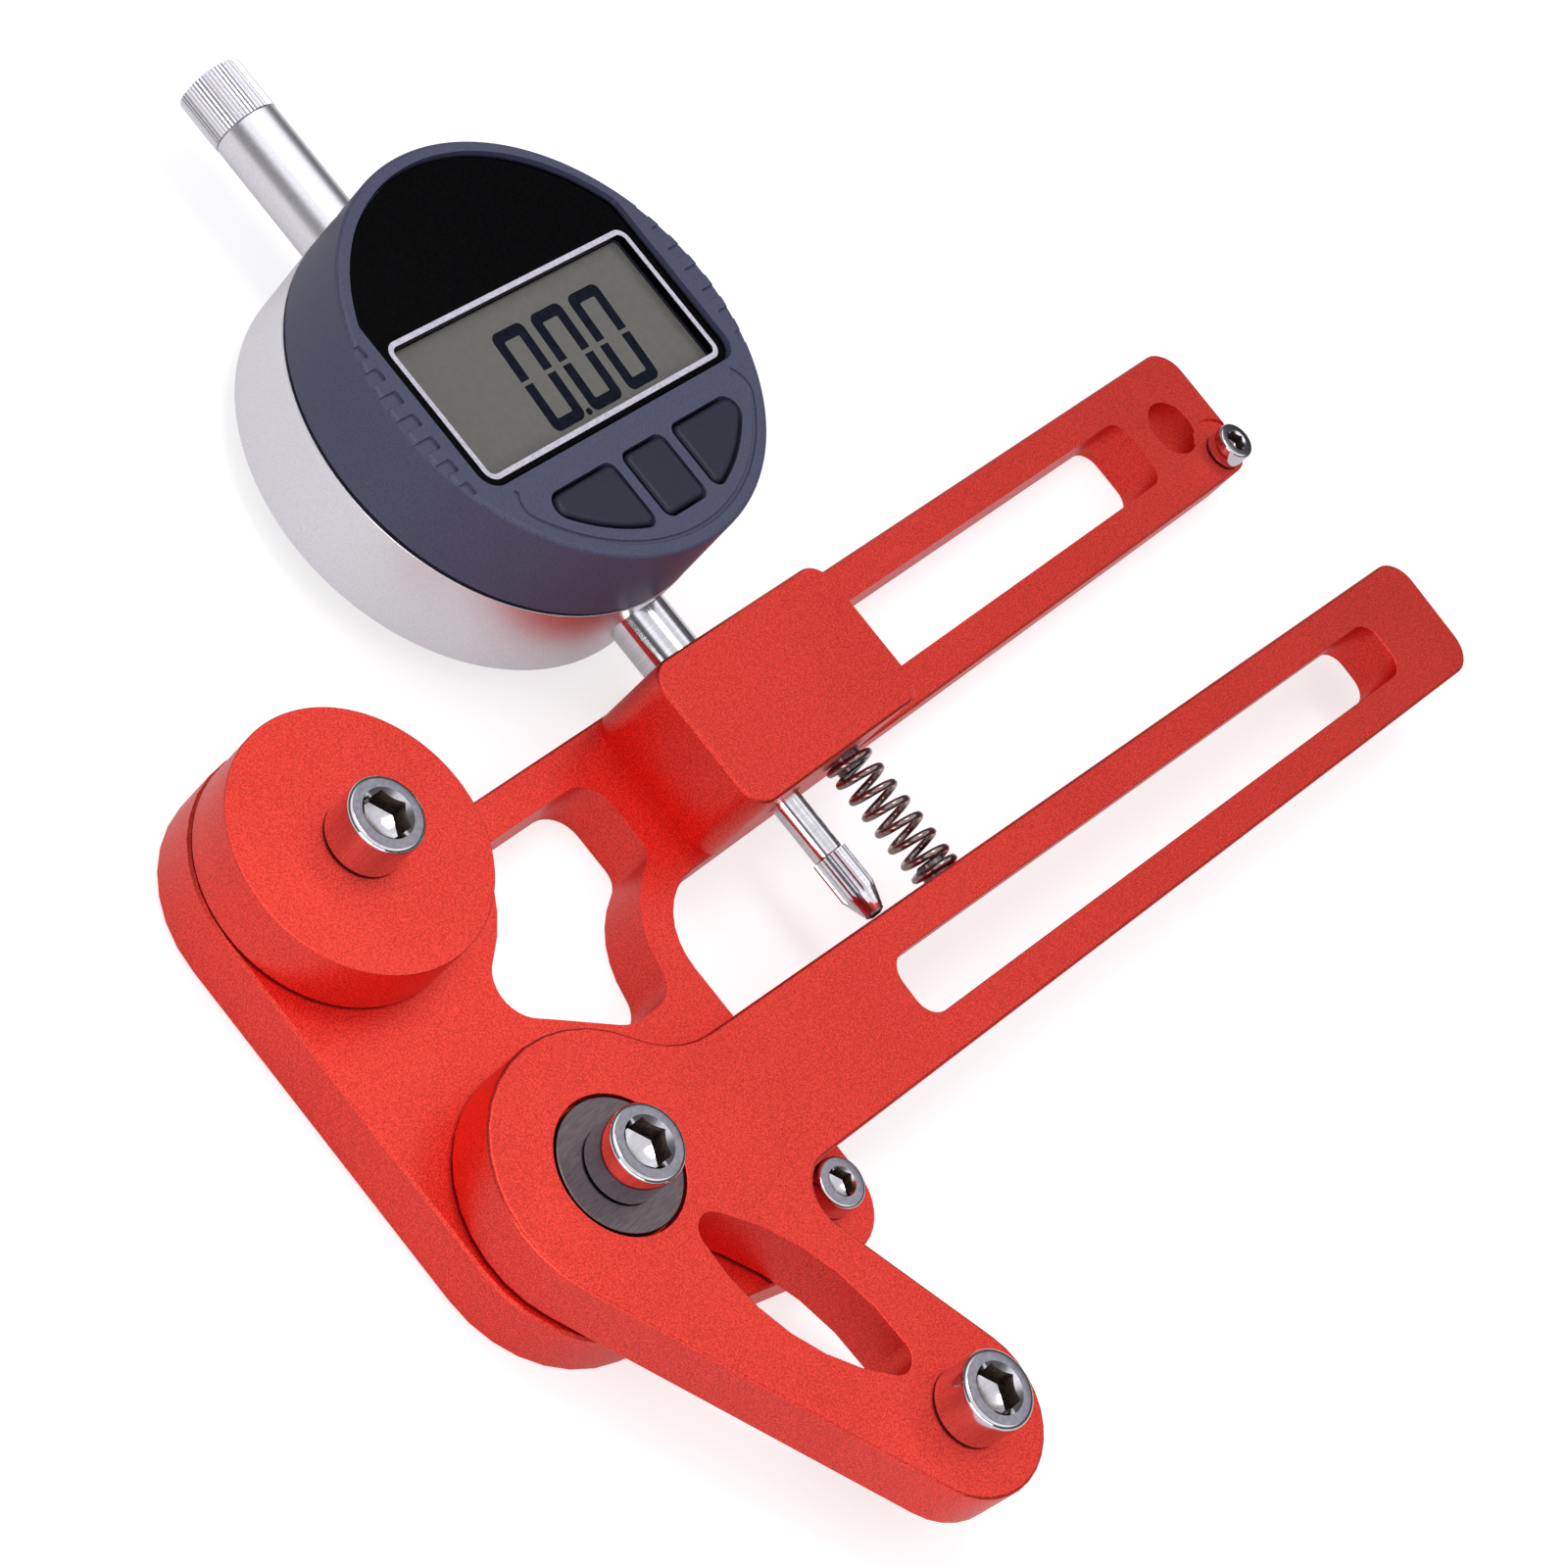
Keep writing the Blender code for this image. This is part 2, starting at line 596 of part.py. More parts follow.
def rear_window_rounds():
    """Outline of the window, whose walls keep even to both round ends and to the crotch."""
    crotch = Vector((EAR_REACH + CROTCH_FILLET, REAR_ARM_LOW - CROTCH_FILLET))
    web_reach = CROTCH_FILLET + WINDOW_WEB
    upper = UPPER_POST.to_2d()
    pivot = PIVOT.to_2d()
    top = REAR_ARM_HIGH - WINDOW_BORDER
    heel = level_with(top - WINDOW_HEEL, upper, WINDOW_POST_WALL + WINDOW_HEEL, RIGHT_HALF)
    nose_reach = WINDOW_POST_WALL + WINDOW_NOSE
    nose = touching(upper, nose_reach, pivot, nose_reach, 1)
    toe = level_with(WINDOW_FLOOR + WINDOW_TOE_ROUND, crotch, web_reach + WINDOW_TOE_ROUND, LEFT_HALF)
    elbow = plumb_with(WINDOW_REACH - WINDOW_ELBOW, crotch, web_reach + WINDOW_ELBOW, 1)
    return [
        disc(WINDOW_REACH - WINDOW_CORNER, top - WINDOW_CORNER, WINDOW_CORNER),
        disc(heel.x, heel.y, WINDOW_HEEL),
        disc(upper.x, upper.y, WINDOW_POST_WALL, -1),
        disc(nose.x, nose.y, WINDOW_NOSE),
        disc(pivot.x, pivot.y, WINDOW_POST_WALL, -1),
        disc(WINDOW_SOLE, WINDOW_FLOOR + WINDOW_SOLE_ROUND, WINDOW_SOLE_ROUND),
        disc(toe.x, toe.y, WINDOW_TOE_ROUND),
        disc(crotch.x, crotch.y, web_reach, -1),
        disc(elbow.x, elbow.y, WINDOW_ELBOW),
    ]


def front_plate_rounds():
    """Outline of the front plate, lying straight along X."""
    shoulder_level = FRONT_ARM_ABOVE + SHOULDER_FILLET
    shoulder = level_with(shoulder_level, PIVOT, FRONT_ROUND + SHOULDER_FILLET, RIGHT_HALF)
    notch_level = -FRONT_ARM_BELOW - NOTCH_FILLET
    return [
        disc(PIVOT.x, PIVOT.y, FRONT_ROUND),
        disc(LOWER_POST.x, LOWER_POST.y, LOWER_ROUND),
        disc(NOTCH_FILLET_X, notch_level, NOTCH_FILLET, -1),
        disc(FRONT_ARM_REACH - ARM_CORNER, ARM_CORNER - FRONT_ARM_BELOW, ARM_CORNER),
        disc(FRONT_ARM_REACH - ARM_CORNER, FRONT_ARM_ABOVE - ARM_CORNER, ARM_CORNER),
        disc(shoulder.x, shoulder.y, SHOULDER_FILLET, -1),
    ]


def lens_rounds():
    """Outline of the lens-shaped window: two wide arcs that meet in small round ends."""
    left = Vector((LENS_LEFT_X, -LENS_LEFT_DROP))
    right = Vector((-LENS_RIGHT_SETBACK, -LENS_RIGHT_DROP))
    reaches = (LENS_LEFT_RADIUS - LENS_END_RADIUS, LENS_RIGHT_RADIUS - LENS_END_RADIUS)
    low_end = touching(left, reaches[0], right, reaches[1], 1)
    high_end = touching(left, reaches[0], right, reaches[1], -1)
    return [
        disc(left.x, left.y, LENS_LEFT_RADIUS),
        disc(low_end.x, low_end.y, LENS_END_RADIUS),
        disc(right.x, right.y, LENS_RIGHT_RADIUS),
        disc(high_end.x, high_end.y, LENS_END_RADIUS),
    ]


def socket_screw(name, head, shank, socket, place, parent=None):
    """A socket-head screw standing on the given place, its shank running down from there."""
    head_radius, head_height, chamfer = head
    shank_radius, shank_length = shank
    socket_width, socket_depth = socket
    profile = [(0.0, head_height), (head_radius - chamfer, head_height), (head_radius, head_height - chamfer),
               (head_radius, 0.0), (shank_radius, 0.0), (shank_radius, -shank_length), (0.0, -shank_length)]
    screw = add_object(name, turned(profile, MEDIUM_STEPS), "polished_steel", place, parent=parent)
    socket_form = hexagon(socket_width, head_height - socket_depth, head_height + OVERRUN)
    cut(screw, add_object("cut_socket_" + name, socket_form, None, place, parent=parent))
    return screw


def post_screw(name, centre, shank_length, parent=None):
    """An M6 screw whose round head is one of the three contact posts."""
    return socket_screw(name, (POST_HEAD_RADIUS, POST_HEAD_HEIGHT, POST_CHAMFER),
                        (POST_SHANK_RADIUS, shank_length), (POST_SOCKET_WIDTH, POST_SOCKET_DEPTH),
                        centre + Vector((0.0, 0.0, FRONT_TOP + SEAT_GAP)), parent)


def stop_screw():
    """The M4 screw in the ear, whose head stops the front plate at rest."""
    return socket_screw("stop_screw", (STOP_HEAD_RADIUS, STOP_HEAD_HEIGHT, STOP_CHAMFER),
                        (STOP_SHANK_RADIUS, STOP_SHANK_LENGTH), (STOP_SOCKET_WIDTH, STOP_SOCKET_DEPTH),
                        STOP_SCREW + Vector((0.0, 0.0, PLATE_THICKNESS + SEAT_GAP)))


def end_stop_screw():
    """The M3 screw at the arm's end, whose head stops the squeezed front plate."""
    seat = PLATE_THICKNESS - END_SEAT_DEPTH + SEAT_GAP
    return socket_screw("end_stop_screw", (END_HEAD_RADIUS, END_HEAD_HEIGHT, STOP_CHAMFER),
                        (END_SHANK_RADIUS, STOP_SHANK_LENGTH), (END_SOCKET_WIDTH, STOP_SOCKET_DEPTH),
                        END_SCREW + Vector((0.0, 0.0, seat)))


def rear_plate():
    """The fixed plate with its arm, window, slot, ear, block and all its holes."""
    plate = add_object("rear_plate", prism(rear_plate_rounds(), edged(0.0, PLATE_THICKNESS)), "red_anodised")
    corners = [(BLOCK_START + BLOCK_CORNER, REAR_ARM_LOW + BLOCK_CORNER),
               (BLOCK_END - BLOCK_CORNER, REAR_ARM_LOW + BLOCK_CORNER),
               (BLOCK_END - BLOCK_CORNER, REAR_ARM_HIGH - BLOCK_CORNER),
               (BLOCK_START + BLOCK_CORNER, REAR_ARM_HIGH - BLOCK_CORNER)]
    block_rounds = [disc(x, y, BLOCK_CORNER) for x, y in corners]
    block_levels = [(0.5 * PLATE_THICKNESS, 0.0), (BLOCK_TOP - EDGE_BREAK, 0.0), (BLOCK_TOP, EDGE_BREAK)]
    join(plate, add_object("join_block", prism(block_rounds, block_levels), None))

    above = PLATE_THICKNESS + OVERRUN
    cut(plate, add_object("cut_window", prism(rear_window_rounds(), plain(-OVERRUN, above)), None))
    slot_low = REAR_ARM_LOW + REAR_SLOT_BORDER
    cut(plate, slot("cut_rear_slot", REAR_SLOT_START, REAR_SLOT_END, slot_low, slot_low + REAR_SLOT_WIDTH,
                    SLOT_CORNER, -OVERRUN, above))
    hanging = Vector((REAR_ARM_REACH - HANGING_HOLE_INSET, 0.5 * (REAR_ARM_LOW + REAR_ARM_HIGH), 0.0))
    cut(plate, hole("cut_hanging_hole", hanging, HANGING_HOLE_RADIUS, -OVERRUN, above))
    end_seat = PLATE_THICKNESS - END_SEAT_DEPTH
    cut(plate, hole("cut_end_seat", END_SCREW, END_SEAT_RADIUS, end_seat, above))

    post_floor = FRONT_TOP + SEAT_GAP - UPPER_SHANK_LENGTH - DRILL_POINT
    for name, centre in (("upper", UPPER_POST), ("pivot", PIVOT)):
        cut(plate, hole("cut_hole_" + name, centre, POST_SHANK_RADIUS + SEAT_GAP, post_floor, above))
    for name, centre, seat, shank in (("stop", STOP_SCREW, PLATE_THICKNESS, STOP_SHANK_RADIUS),
                                      ("end", END_SCREW, end_seat, END_SHANK_RADIUS)):
        floor = seat + SEAT_GAP - STOP_SHANK_LENGTH - DRILL_POINT
        cut(plate, hole("cut_hole_" + name, centre, shank + SEAT_GAP, floor, above, COARSE_STEPS))

    cut(plate, cross_hole("cut_stem_hole", AXLE, STEM_RADIUS + SEAT_GAP, STEM_LOW - SEAT_GAP,
                          REAR_ARM_HIGH + OVERRUN))
    cut(plate, cross_hole("cut_spindle_hole", AXLE, SPINDLE_RADIUS + 2.0 * SEAT_GAP, REAR_ARM_LOW - OVERRUN,
                          STEM_LOW))
    clamp = Vector((INDICATOR_X, STEM_LOW + 0.5 * STEM_BLOCK_DEPTH, 0.0))
    cut(plate, hole("cut_clamp_hole", clamp, CLAMP_SCREW_RADIUS + SEAT_GAP, -OVERRUN, AXLE_HEIGHT,
                    COARSE_STEPS))
    cut(plate, cross_hole("cut_upper_pin_hole", Vector((SPRING_X, 0.0, AXLE_HEIGHT)), PIN_RADIUS + SEAT_GAP,
                          REAR_ARM_LOW - OVERRUN, REAR_ARM_LOW + PIN_SINK + SEAT_GAP, COARSE_STEPS))
    return plate


def spacer_disc():
    """The disc that lifts the upper post level with the front plate."""
    rounds = [disc(0.0, 0.0, DISC_RADIUS)]
    levels = edged(FRONT_LOW, FRONT_TOP)
    profile = [(DISC_RADIUS - inset, height) for height, inset in reversed(levels)]
    bore = POST_SHANK_RADIUS + SEAT_GAP
    profile = [(bore, FRONT_TOP)] + profile + [(bore, FRONT_LOW)]
    return add_object("spacer_disc", turned(profile, FINE_STEPS), "red_anodised", UPPER_POST)


def clamp_screw():
    """The set screw, reached from the back, that holds the indicator's stem in the block."""
    top = AXLE_HEIGHT - STEM_RADIUS - SEAT_GAP
    low = top - CLAMP_SCREW_LENGTH
    place = Vector((INDICATOR_X, STEM_LOW + 0.5 * STEM_BLOCK_DEPTH, 0.0))
    screw = add_object("stem_clamp_screw", rod(CLAMP_SCREW_RADIUS, low, top, COARSE_STEPS, EDGE_BREAK),
                       "dark_steel", place)
    socket = hexagon(CLAMP_SOCKET_WIDTH, low - OVERRUN, low + CLAMP_SOCKET_DEPTH)
    cut(screw, add_object("cut_socket_clamp", socket, None, place))


def front_plate(arm_axis):
    """The squeezed plate: pivot round, long slotted arm and the lower arm with its lens window."""
    slab = prism(front_plate_rounds(), edged(FRONT_LOW, FRONT_TOP))
    plate = add_object("front_plate", slab, "red_anodised", parent=arm_axis)
    below = FRONT_LOW - OVERRUN
    above = FRONT_TOP + OVERRUN
    slot_high = FRONT_ARM_ABOVE - FRONT_SLOT_BORDER
    slot_low = slot_high - FRONT_SLOT_WIDTH
    cut(plate, slot("cut_front_slot", FRONT_SLOT_START, FRONT_SLOT_END, slot_low, slot_high, SLOT_CORNER,
                    below, above, arm_axis))
    cut(plate, add_object("cut_lens", prism(lens_rounds(), plain(below, above)), None, parent=arm_axis))
    cut(plate, hole("cut_bush_bore", PIVOT, BUSH_RADIUS + SEAT_GAP, below, above, parent=arm_axis))
    flange_floor = FRONT_TOP - FLANGE_THICKNESS - SEAT_GAP
    cut(plate, hole("cut_flange_seat", PIVOT, FLANGE_RADIUS + SEAT_GAP, flange_floor, above, FINE_STEPS,
                    arm_axis))
    cut(plate, hole("cut_washer_seat", PIVOT, WASHER_RADIUS + SEAT_GAP, below,
                    FRONT_LOW + WASHER_THICKNESS + SEAT_GAP, parent=arm_axis))
    lower_floor = FRONT_TOP + SEAT_GAP - LOWER_SHANK_LENGTH - DRILL_POINT
    cut(plate, hole("cut_lower_hole", LOWER_POST, POST_SHANK_RADIUS + SEAT_GAP, lower_floor, above,
                    parent=arm_axis))
    pin_hole = cross_hole("cut_lower_pin_hole", Vector((PIN_SEAT_X, 0.0, AXLE_HEIGHT)), PIN_RADIUS + SEAT_GAP,
                          FRONT_ARM_ABOVE - PIN_SINK - SEAT_GAP, FRONT_ARM_ABOVE + OVERRUN, COARSE_STEPS)
    pin_hole.parent = arm_axis
    cut(plate, pin_hole)
    return plate


def pivot_pieces():
    """The flanged bush that the front plate turns on, and the washer under that plate."""
    bore = POST_SHANK_RADIUS + SEAT_GAP
    flange_low = FRONT_TOP - FLANGE_THICKNESS
    profile = [(bore, FRONT_TOP), (FLANGE_RADIUS, FRONT_TOP), (FLANGE_RADIUS, flange_low),
               (BUSH_RADIUS, flange_low), (BUSH_RADIUS, FRONT_LOW), (bore, FRONT_LOW)]
    add_object("pivot_bush", turned(profile, FINE_STEPS), "dark_steel")
    add_object("thrust_washer", tube(WASHER_RADIUS, BUSH_RADIUS + SEAT_GAP, FRONT_LOW,
                                     FRONT_LOW + WASHER_THICKNESS), "white_nylon")


def spring_pins(arm_axis):
    """The dowels inside the two ends of the return spring."""
    upper = rod(PIN_RADIUS, REAR_ARM_LOW - PIN_STAND, REAR_ARM_LOW + PIN_SINK, COARSE_STEPS, EDGE_BREAK)
    add_object("upper_spring_pin", upper, "dark_steel", Vector((SPRING_X, 0.0, AXLE_HEIGHT)),
               (-QUARTER_TURN, 0.0, 0.0))
    lower = rod(PIN_RADIUS, FRONT_ARM_ABOVE - PIN_SINK, FRONT_ARM_ABOVE + PIN_STAND, COARSE_STEPS, EDGE_BREAK)
    add_object("lower_spring_pin", lower, "dark_steel", Vector((PIN_SEAT_X, 0.0, AXLE_HEIGHT)),
               (-QUARTER_TURN, 0.0, 0.0), arm_axis)


def wire(name, points, radius, finish):
    """One unbroken round wire through the points, with closed ends."""
    curve = bpy.data.curves.new(name, "CURVE")
    curve.dimensions = "3D"
    curve.bevel_depth = radius
    curve.bevel_resolution = 1
    curve.use_fill_caps = True
    spline = curve.splines.new("POLY")
    spline.points.add(len(points) - 1)
    for slot_point, point in zip(spline.points, points):
        slot_point.co = (point.x, point.y, point.z, 1.0)
    curve.materials.append(material(finish))
    made = bpy.data.objects.new(name, curve)
    bpy.context.scene.collection.objects.link(made)
    return made


def least_gap(points, radius, skip):
    """The smallest distance between stretches of the wire that are more than skip points apart."""
    pairs = ((a, b) for a in range(len(points)) for b in range(a + skip, len(points)))
    return min((points[a] - points[b]).length for a, b in pairs) - 2.0 * radius


def coil(name, x, coil_radius, wire_radius, low, high, pitches, finish):
    """A spring along Y: one curl for each pitch share, spread from low to high, with straight end tails."""
    first = low + wire_radius
    run = high - low - 2.0 * wire_radius
    total = sum(pitches)
    points = []
    done = 0.0
    for curl, pitch in enumerate(pitches):
        for step in range(SPRING_CURL_POINTS):
            share = step / SPRING_CURL_POINTS
            angle = FULL_TURN * (curl + share)
            y = first + run * (done + pitch * share) / total
            points.append(Vector((x + coil_radius * math.cos(angle), y,
                                  AXLE_HEIGHT + coil_radius * math.sin(angle))))
        done += pitch
    points.append(Vector((x + coil_radius, first + run, AXLE_HEIGHT)))
    tail = Vector((0.0, 0.0, 2.0 * wire_radius))
    points.insert(0, points[0] - tail)
    points.append(points[-1] + tail)
    gap = least_gap(points, wire_radius, SPRING_CURL_POINTS // 2)
    print(f"{name}: least gap between its curls {gap * MILLIMETRES:.2f} mm")
    return wire(name, points, wire_radius, finish)


def return_spring():
    """The compression spring that holds the arms apart, its end curls closed up."""
    tilt = (SPRING_COIL_RADIUS + SPRING_WIRE_RADIUS) * math.tan(abs(REST_ANGLE))
    low = PIN_SEAT_Y + tilt + SEAT_GAP
    high = REAR_ARM_LOW - SEAT_GAP
    run = high - low - 2.0 * (SPRING_WIRE_RADIUS + SPRING_CLOSED_CURLS * SPRING_CLOSED_PITCH)
    closed = [SPRING_CLOSED_PITCH] * SPRING_CLOSED_CURLS
    active = [run / SPRING_ACTIVE_CURLS] * SPRING_ACTIVE_CURLS
    return coil("return_spring", SPRING_X, SPRING_COIL_RADIUS, SPRING_WIRE_RADIUS, low, high,
                closed + active + closed, "spring_steel")


def indicator_case():
    """The metal body: a shallow cup, open at the back, with a spigot that the bezel turns on."""
    spigot_top = CASE_FRONT + SPIGOT_HEIGHT
    spigot_bore = SPIGOT_RADIUS - SPIGOT_WALL
    groove_floor = CLIP_CENTRE - CLIP_GROOVE
    profile = [
        (0.0, CASE_FRONT), (spigot_bore, CASE_FRONT), (spigot_bore, spigot_top), (SPIGOT_RADIUS, spigot_top),
        (SPIGOT_RADIUS, CLIP_LEVEL + CLIP_GROOVE), (groove_floor, CLIP_LEVEL + CLIP_GROOVE),
        (groove_floor, CLIP_LEVEL - CLIP_GROOVE), (SPIGOT_RADIUS, CLIP_LEVEL - CLIP_GROOVE),
        (SPIGOT_RADIUS, CASE_FRONT), (CASE_RADIUS - CASE_EDGE, CASE_FRONT),
        (CASE_RADIUS, CASE_FRONT - CASE_EDGE), (CASE_RADIUS, CASE_BACK + CASE_EDGE),
        (CASE_RADIUS - CASE_EDGE, CASE_BACK), (CASE_BORE, CASE_BACK),
        (CASE_BORE, CASE_FRONT - CASE_WEB), (0.0, CASE_FRONT - CASE_WEB),
    ]
    case = add_object("indicator_case", turned(profile, FINE_STEPS), "satin_metal", INDICATOR)
    boss_low = COVER_TOP + SEAT_GAP
    for index, place in enumerate(cover_screw_places()):
        boss = rod(BOSS_RADIUS, boss_low, CASE_FRONT - 0.5 * CASE_WEB)
        join(case, add_object(f"join_boss_{index + 1}", boss, None, place))
        bore_top = CASE_BACK + COVER_SCREW_HEAD_HEIGHT + COVER_SCREW_LENGTH + SEAT_GAP
        cut(case, hole(f"cut_boss_{index + 1}", place, COVER_SCREW_RADIUS + SEAT_GAP, boss_low - OVERRUN,
                       bore_top, COARSE_STEPS))
    cut(case, cross_hole("cut_case_stem", AXLE, STEM_RADIUS + SEAT_GAP, INDICATOR_Y - CASE_RADIUS - OVERRUN,
                         STEM_HIGH + SEAT_GAP))
    cut(case, cross_hole("cut_case_tube", AXLE, TUBE_RADIUS + SEAT_GAP, TUBE_LOW - SEAT_GAP,
                         INDICATOR_Y + CASE_RADIUS + OVERRUN))
    reach = guide_rod_reach() + SEAT_GAP
    cut(case, cross_hole("cut_case_rod", AXLE + Vector((ROD_OFFSET, 0.0, 0.0)), ROD_RADIUS + SEAT_GAP,
                         INDICATOR_Y - reach, INDICATOR_Y + reach, COARSE_STEPS))
    return case


def cover_screw_places():
    """Centres of the screws round the back cover."""
    places = []
    for index in range(COVER_SCREWS):
        angle = FULL_TURN * (index + 0.5) / COVER_SCREWS
        places.append(INDICATOR + COVER_SCREW_RING * Vector((math.cos(angle), math.sin(angle), 0.0)))
    return places


def guide_rod_reach():
    """Half the guide rod's length: it ends a little way inside the case wall."""
    return math.sqrt(CASE_BORE ** 2 - ROD_OFFSET ** 2) + ROD_SINK


def back_cover():
    """The flat back with four sunk screws, the battery lid and its cell."""
    plate = rod(CASE_BORE - SEAT_GAP, CASE_BACK, COVER_TOP, FINE_STEPS)
    cover = add_object("back_cover", plate, "satin_metal", INDICATOR)
    head_top = CASE_BACK + COVER_SCREW_HEAD_HEIGHT
    below = CASE_BACK - OVERRUN
    for index, place in enumerate(cover_screw_places()):
        name = f"back_cover_screw_{index + 1}"
        cut(cover, hole("cut_head_" + name, place, COVER_SCREW_HEAD_RADIUS + SEAT_GAP, below,
                        head_top + SEAT_GAP, COARSE_STEPS))
        cut(cover, hole("cut_shank_" + name, place, COVER_SCREW_RADIUS + SEAT_GAP, below,
                        COVER_TOP + OVERRUN, COARSE_STEPS))
        top = head_top + COVER_SCREW_LENGTH
        profile = [(0.0, top), (COVER_SCREW_RADIUS, top), (COVER_SCREW_RADIUS, head_top),
                   (COVER_SCREW_HEAD_RADIUS, head_top), (COVER_SCREW_HEAD_RADIUS, CASE_BACK),
                   (0.0, CASE_BACK)]
        add_object(name, turned(profile, COARSE_STEPS), "polished_steel", place)

    lid_place = INDICATOR + Vector((LID_OFFSET, 0.0, 0.0))
    cut(cover, hole("cut_lid_seat", lid_place, LID_RADIUS + SEAT_GAP, below, COVER_TOP + OVERRUN))
    lid = add_object("battery_lid", rod(LID_RADIUS, CASE_BACK, COVER_TOP), "satin_metal", lid_place)
    coin_slot = box((-0.5 * LID_SLOT_LENGTH, -0.5 * LID_SLOT_WIDTH, below),
                    (0.5 * LID_SLOT_LENGTH, 0.5 * LID_SLOT_WIDTH, CASE_BACK + LID_SLOT_DEPTH))
    cut(lid, add_object("cut_lid_slot", coin_slot, None, lid_place))
    cell_low = COVER_TOP + SEAT_GAP
    add_object("coin_cell", rod(CELL_RADIUS, cell_low, cell_low + CELL_THICKNESS, MEDIUM_STEPS, EDGE_BREAK),
               "polished_steel", lid_place)


def case_inner_pieces():
    """The guide rod and the sensor board, both fixed in the case."""
    reach = guide_rod_reach()
    add_object("guide_rod", rod(ROD_RADIUS, INDICATOR_Y - reach, INDICATOR_Y + reach), "polished_steel",
               AXLE + Vector((ROD_OFFSET, 0.0, 0.0)), (-QUARTER_TURN, 0.0, 0.0))
    low = COVER_TOP + SEAT_GAP
    half_width = 0.5 * SENSOR_BOARD_WIDTH
    half_length = 0.5 * SENSOR_BOARD_LENGTH
    centre = INDICATOR - Vector((SENSOR_BOARD_OFFSET, 0.0, 0.0))
    board = box((centre.x - half_width, centre.y - half_length, low),
                (centre.x + half_width, centre.y + half_length, low + BOARD_THICKNESS))
    add_object("sensor_board", board, "circuit_laminate")


def stem_and_tube():
    """The stem in the block, the upper tube and its fluted cap."""
    along_y = (-QUARTER_TURN, 0.0, 0.0)
    add_object("stem", tube(STEM_RADIUS, SPINDLE_RADIUS + SEAT_GAP, STEM_LOW, STEM_HIGH), "polished_steel",
               AXLE, along_y)
    sleeve = tube(TUBE_RADIUS, TUBE_BORE, TUBE_LOW, TUBE_END)
    add_object("upper_tube", sleeve, "polished_steel", AXLE, along_y)
    fluted = star_prism(CAP_RADIUS, CAP_FLUTE_DEPTH, CAP_FLUTES, TUBE_END + SEAT_GAP, CAP_END)
    cap = add_object("tube_cap", fluted, "satin_metal", AXLE, along_y)
    plug = rod(TUBE_BORE - SEAT_GAP, TUBE_END - CAP_PLUG_LENGTH, TUBE_END + CAP_PLUG_LENGTH)
    join(cap, add_object("join_cap_plug", plug, None, AXLE, along_y))


def spindle_spring():
    """The light spring inside the upper tube that presses the spindle down."""
    pitches = [1.0] * SPINDLE_SPRING_CURLS
    return coil("spindle_spring", INDICATOR_X, SPINDLE_SPRING_RADIUS, SPINDLE_SPRING_WIRE,
                SPINDLE_TOP + SEAT_GAP, TUBE_END - CAP_PLUG_LENGTH - SEAT_GAP, pitches, "spring_steel")


def spindle_pieces():
    """The plunger: spindle, screwed-in contact point with its hard tip, and the scale carriage."""
    axis = add_empty("spindle_axis", AXLE, (-QUARTER_TURN, 0.0, 0.0))
    low = CONTACT_TOP + SEAT_GAP
    stub_bore = STUB_RADIUS + SEAT_GAP
    bore_top = low + STUB_LENGTH + SEAT_GAP
    profile = [(0.0, SPINDLE_TOP), (SPINDLE_RADIUS - EDGE_BREAK, SPINDLE_TOP),
               (SPINDLE_RADIUS, SPINDLE_TOP - EDGE_BREAK), (SPINDLE_RADIUS, low), (stub_bore, low),
               (stub_bore, bore_top), (0.0, bore_top)]
    add_object("spindle", turned(profile, MEDIUM_STEPS), "polished_steel", parent=axis)

    fluted = star_prism(CONTACT_RADIUS, CONTACT_FLUTE_DEPTH, CONTACT_FLUTES, CONTACT_SHOULDER, CONTACT_TOP)
    point = add_object("contact_point", fluted, "polished_steel", parent=axis)
    core = CONTACT_RADIUS - 2.0 * CONTACT_FLUTE_DEPTH
    inner = CONTACT_SHOULDER + 0.5 * FLUTED_LENGTH
    core_profile = [(0.0, low + STUB_LENGTH), (STUB_RADIUS, low + STUB_LENGTH), (STUB_RADIUS, inner),
                    (core, inner), (core, CONTACT_SHOULDER), (CONE_END_RADIUS, CONE_END), (0.0, CONE_END)]
    join(point, add_object("join_contact_core", turned(core_profile, MEDIUM_STEPS), None, parent=axis))
    tip_top = TIP_END + TIP_LENGTH
    tip_profile = [(0.0, tip_top), (TIP_RADIUS, tip_top), (TIP_RADIUS, tip_top - 0.5 * TIP_LENGTH),
                   (TIP_BLUNT_RADIUS, TIP_END), (0.0, TIP_END)]
    add_object("contact_tip", turned(tip_profile, COARSE_STEPS), "dark_steel", parent=axis)
    scale_carriage()


